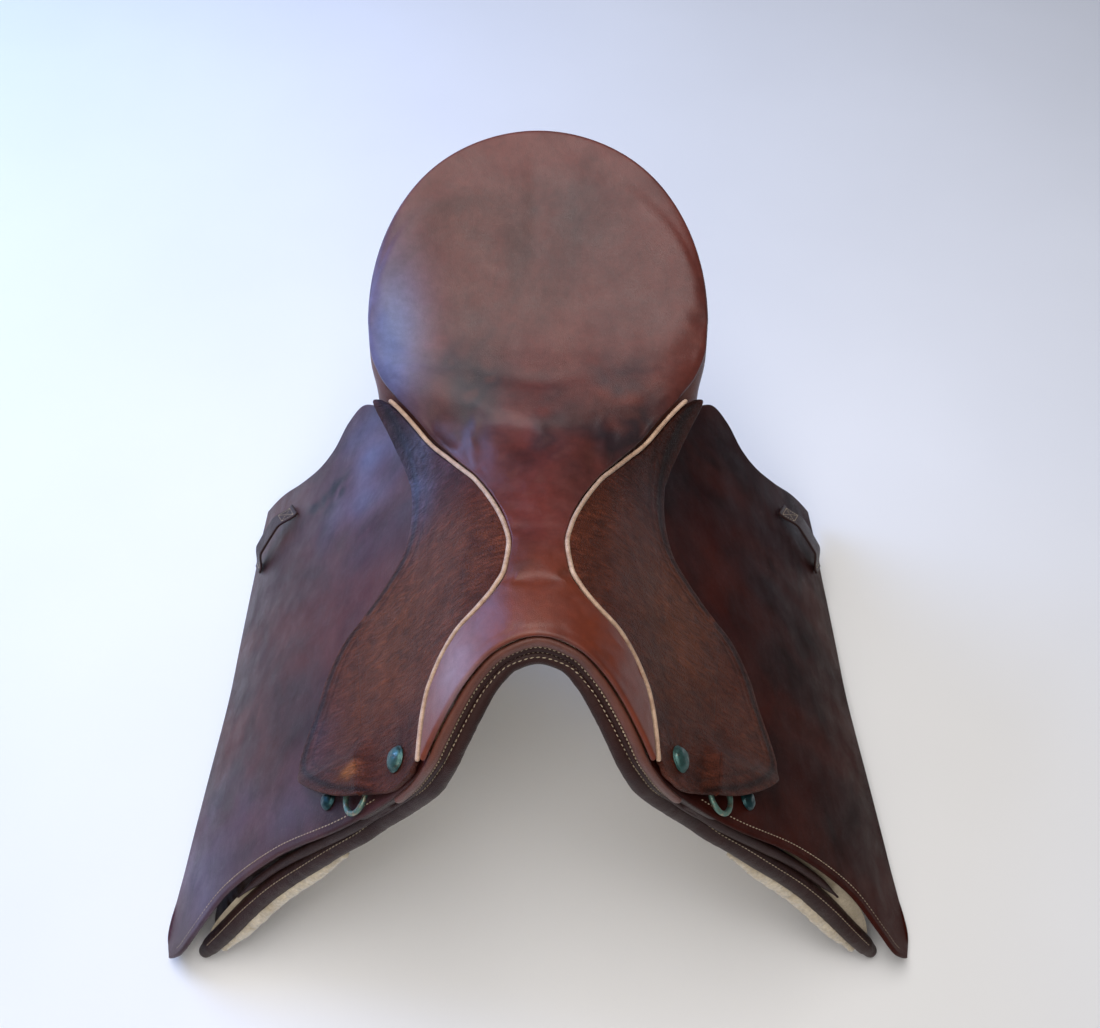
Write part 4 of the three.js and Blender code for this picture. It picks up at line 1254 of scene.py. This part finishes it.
def make_panel_edge(name, sign):
    """Fleece showing past the inner side of the rolled edge."""
    path = roll_at(np.linspace(138, 240, 150)) + [-7.0, -2.0, -6.0]
    path += np.stack([0.8 * wobble(path, 0.09, 3), 0.8 * wobble(path, 0.11, 7), 0.9 * wobble(path, 0.1, 1)], -1)
    path[:, 2] = np.maximum(path[:, 2], 6.6)
    t = np.linspace(0, 1, len(path))
    radius = lerp(3.0, 6.4, smooth(np.minimum(t, 1 - t) / 0.25))
    obj = tube(f"fleece_edge_{name}", path * [sign, 1, 1], radius, "wool", 24)
    p = plan_of(obj)
    return shift_along_normals(obj, np.clip(0.9 * np.abs(wobble(p, 0.35, 6)) + 0.5 * wobble(p, 0.8, 2), -0.4, 1.2))


def make_canvas(name, sign):
    """Canvas facing between the rolled edge and the flap's underside, wider on the off side."""
    u, v = grid(60, 16)
    low = roll_centre(lerp(11.4, 15.4, u)) + [0.0, 4.0, 5.5]
    high = lifted(side_form, low[..., 0] + 4, low[..., 1] + 16, -7)[0]
    share = (0.9 if sign > 0 else 0.4) * np.sin(np.pi * u) ** 0.5
    middle = lerp(low, high, (v * share)[..., None])
    return outward(slab(f"panel_canvas_{name}", middle * [sign, 1, 1], 1.0, "canvas"))


both(make_panel_edge, "root")
both(make_canvas, "root")


# ---------------------------------------------------------------- girth straps
STRAP_WIDTH, STRAP_PITCH, STRAP_Y, STRAP_TOP, STRAP_THICK = 26.0, 36.0, 16.0, -5.6, 3.4


def make_strap(k, centre):
    u, v = grid(16, 150)
    v = lerp(v, smooth(v), 0.15)
    tip = STRAP_WIDTH / 2 * (1 - 0.72 * smooth((v - 0.93) / 0.07))
    obj = sheet_on(f"strap_{k}_right_billet", lerp(70.0, 231.5, v), centre + lerp(tip, -tip, u),
                   STRAP_TOP - STRAP_THICK / 2, STRAP_THICK - 0.3, "strap")
    cutters = []
    for i in range(8):
        at, _, normal = frame_at(146 + 9.5 * i, centre, STRAP_TOP)
        at[1] = centre
        cutters.append(lathe("punch", [(2.3, -9), (2.3, 9)], at, normal, sides=20))
    return cut(obj, cutters)


for k in (1, 2, 3):
    centre = STRAP_Y + (k - 2) * STRAP_PITCH
    for side_name, sign, obj in pair(make_strap(k, centre), f"strap_{k}_left_billet"):
        body = f"strap_{k}_{side_name}"
        seated(finish(obj, "strap"), body, f"girth_strap_{k}_{side_name}")
        for edge, at in (("a", 10.0), ("b", -10.0)):
            x = np.linspace(74, 222, 90)
            line = [p * [sign, 1, 1] for p in lifted(side_form, x, centre + at + 0 * x, STRAP_TOP - 0.1)]
            seated(stitches(f"{body}_stitches_{edge}", [line], 3.8, 2.6, 0.6, sink=0.15), body)


# ---------------------------------------------------------------- cantle facing and webs
def cantle_outline(angle, inset):
    """Plan line round the cantle's outside, running forward beside the seat's rim."""
    y = CANTLE_CENTRE_Y + (SEAT_HALF_WIDTH - inset + 1) * np.sin(angle)
    beside = np.sign(np.cos(angle)) * (rim_x(y) - inset)
    return np.where(y < CANTLE_CENTRE_Y, beside, (SEAT_HALF_WIDTH - inset) * np.cos(angle)), y


def make_facing():
    u, v = grid(170, 22)
    x, y = cantle_outline(lerp(-0.4, math.pi + 0.4, u), 3.3 - np.sin(np.pi * v))
    middle = np.stack([x, y, seat_rim(np.minimum(y, 246)) - lerp(9.6, 33.4, v)], -1)
    obj = outward(slab("cantle_band", middle, 2.6, "cantle"))
    seated(shift_along_normals(obj, 0.25 * wobble(plan_of(obj), 0.05, 2)), "root", "cantle_facing")
    a = np.linspace(-0.37, math.pi + 0.37, 300)
    x, y = cantle_outline(a, 1.5)
    path = np.stack([x, y, seat_rim(np.minimum(y, 246)) - 30.2], -1)
    out = np.stack([np.cos(a), np.sin(a), 0 * a], -1)
    seated(stitches("cantle_stitches", [(path, out)], 3.4, 2.4, 0.75, sink=0.1), "root")


make_facing()


def make_gusset(name, sign):
    """Leather closing the side between the seat's rim, the skirt's rear corner and the cantle facing."""
    u, v = grid(70, 14)
    y = lerp(24, 126, u)
    half = np.where(y < 66, welt_x(y), rim_x(y)) - 2.2
    top = seat_form(half, y) - 1.0 - 5 * smooth((y - 60) / 40)
    flare = 7 * np.exp(-((y - 74) / 15) ** 2) * v ** 1.2
    middle = np.stack([half + flare + 1.6 * np.sin(np.pi * v), y - 5 * v, top - 20 * v], -1)
    return outward(slab(f"side_gusset_{name}", middle * [sign, 1, 1], 1.6, "brown"))


both(make_gusset, "root")


def make_web(name, x_ends, y_ends, form, depth, node, shape):
    u, v = grid(*shape)
    x, y = lerp(*x_ends, u), lerp(*y_ends, v)
    middle = np.stack([x, y, form(x, y) + depth - 0.7], -1)
    seated(outward(slab(name, middle, 1.2, "canvas")), "root", node)


for side_name, sign in SIDES.items():
    make_web(f"seat_webbing_{side_name}", sorted((3 * sign, 12 * sign)), (-96, 205), seat_form, -8.6,
             f"seat_web_{side_name}", (8, 120))
for end, at in (("front", STRAP_Y - 32), ("rear", STRAP_Y + 18)):
    make_web(f"girth_webbing_{end}", (-52, 52), (at - 15, at + 15), skin_form, -10.8, f"girth_web_{end}", (60, 18))


# ---------------------------------------------------------------- materials on the CAD nodes that stay
def cad_material(prefixes, key):
    for obj in bpy.data.objects:
        if obj.type == "MESH" and obj.name in frame["nodes"] and obj.name.startswith(prefixes):
            obj.data.materials.clear()
            obj.data.materials.append(FINISH[key][1])


cad_material(("tree_head", "tree_rail", "tree_cantle"), "wood")
cad_material(("gullet_plate", "tree_spring", "stirrup_bar", "bar_catch", "catch_pin"), "steel")


# ---------------------------------------------------------------- stage, light and camera
def make_floor():
    m = Recipe("pale_floor")
    tone = m.ramp(m.noise(3, 3, 0.5), (0.3, 0.86), (0.7, 0.9))
    m.surface(Base_Color=tone, Roughness=0.9, Specular_IOR_Level=0.1)
    floor = new_object("studio_floor", [(-4, -3, 0), (4, -3, 0), (4, 5, 0), (-4, 5, 0)], [(0, 1, 2, 3)])
    floor.data.materials.append(m.material)


def area_light(name, at, target, size, power, colour):
    data = bpy.data.lights.new(name, "AREA")
    data.shape = "RECTANGLE"
    data.size, data.size_y = size
    data.energy = power
    data.color = colour
    light = bpy.data.objects.new(name, data)
    light.location = at
    light.rotation_euler = (Vector(target) - Vector(at)).to_track_quat("-Z", "Y").to_euler()
    bpy.context.scene.collection.objects.link(light)


def make_stage():
    make_floor()
    area_light("window_light", (-1.35, 0.75, 1.0), (0, 0, 0.25), (1.0, 1.2), 27, (0.3, 0.49, 1.0))
    area_light("top_light", (-0.15, 0.0, 1.75), (0, 0.05, 0.25), (1.3, 0.8), 19, (1.0, 0.97, 0.95))
    area_light("front_light", (-0.3, -1.5, 1.7), (0, -0.2, 0.1), (1.6, 1.2), 15, (1.0, 0.96, 0.92))
    world = bpy.data.worlds.new("studio")
    world.use_nodes = True
    background = world.node_tree.nodes["Background"]
    background.inputs["Color"].default_value = (0.93, 0.95, 1.0, 1)
    background.inputs["Strength"].default_value = 0.13
    bpy.context.scene.world = world
    camera_data = bpy.data.cameras.new("camera")
    camera_data.lens = 40.42
    camera_data.sensor_width = 36
    camera_data.shift_x = 0.0109
    camera_data.shift_y = -0.0268
    camera_data.clip_start = 0.01
    camera = bpy.data.objects.new("camera", camera_data)
    camera.location = (0, -0.4804, 0.9703)
    camera.rotation_euler = (math.radians(35), 0, 0)
    bpy.context.scene.collection.objects.link(camera)
    bpy.context.scene.camera = camera
    bpy.context.scene.view_settings.view_transform = "Standard"
    bpy.context.scene.view_settings.look = "None"


make_stage()
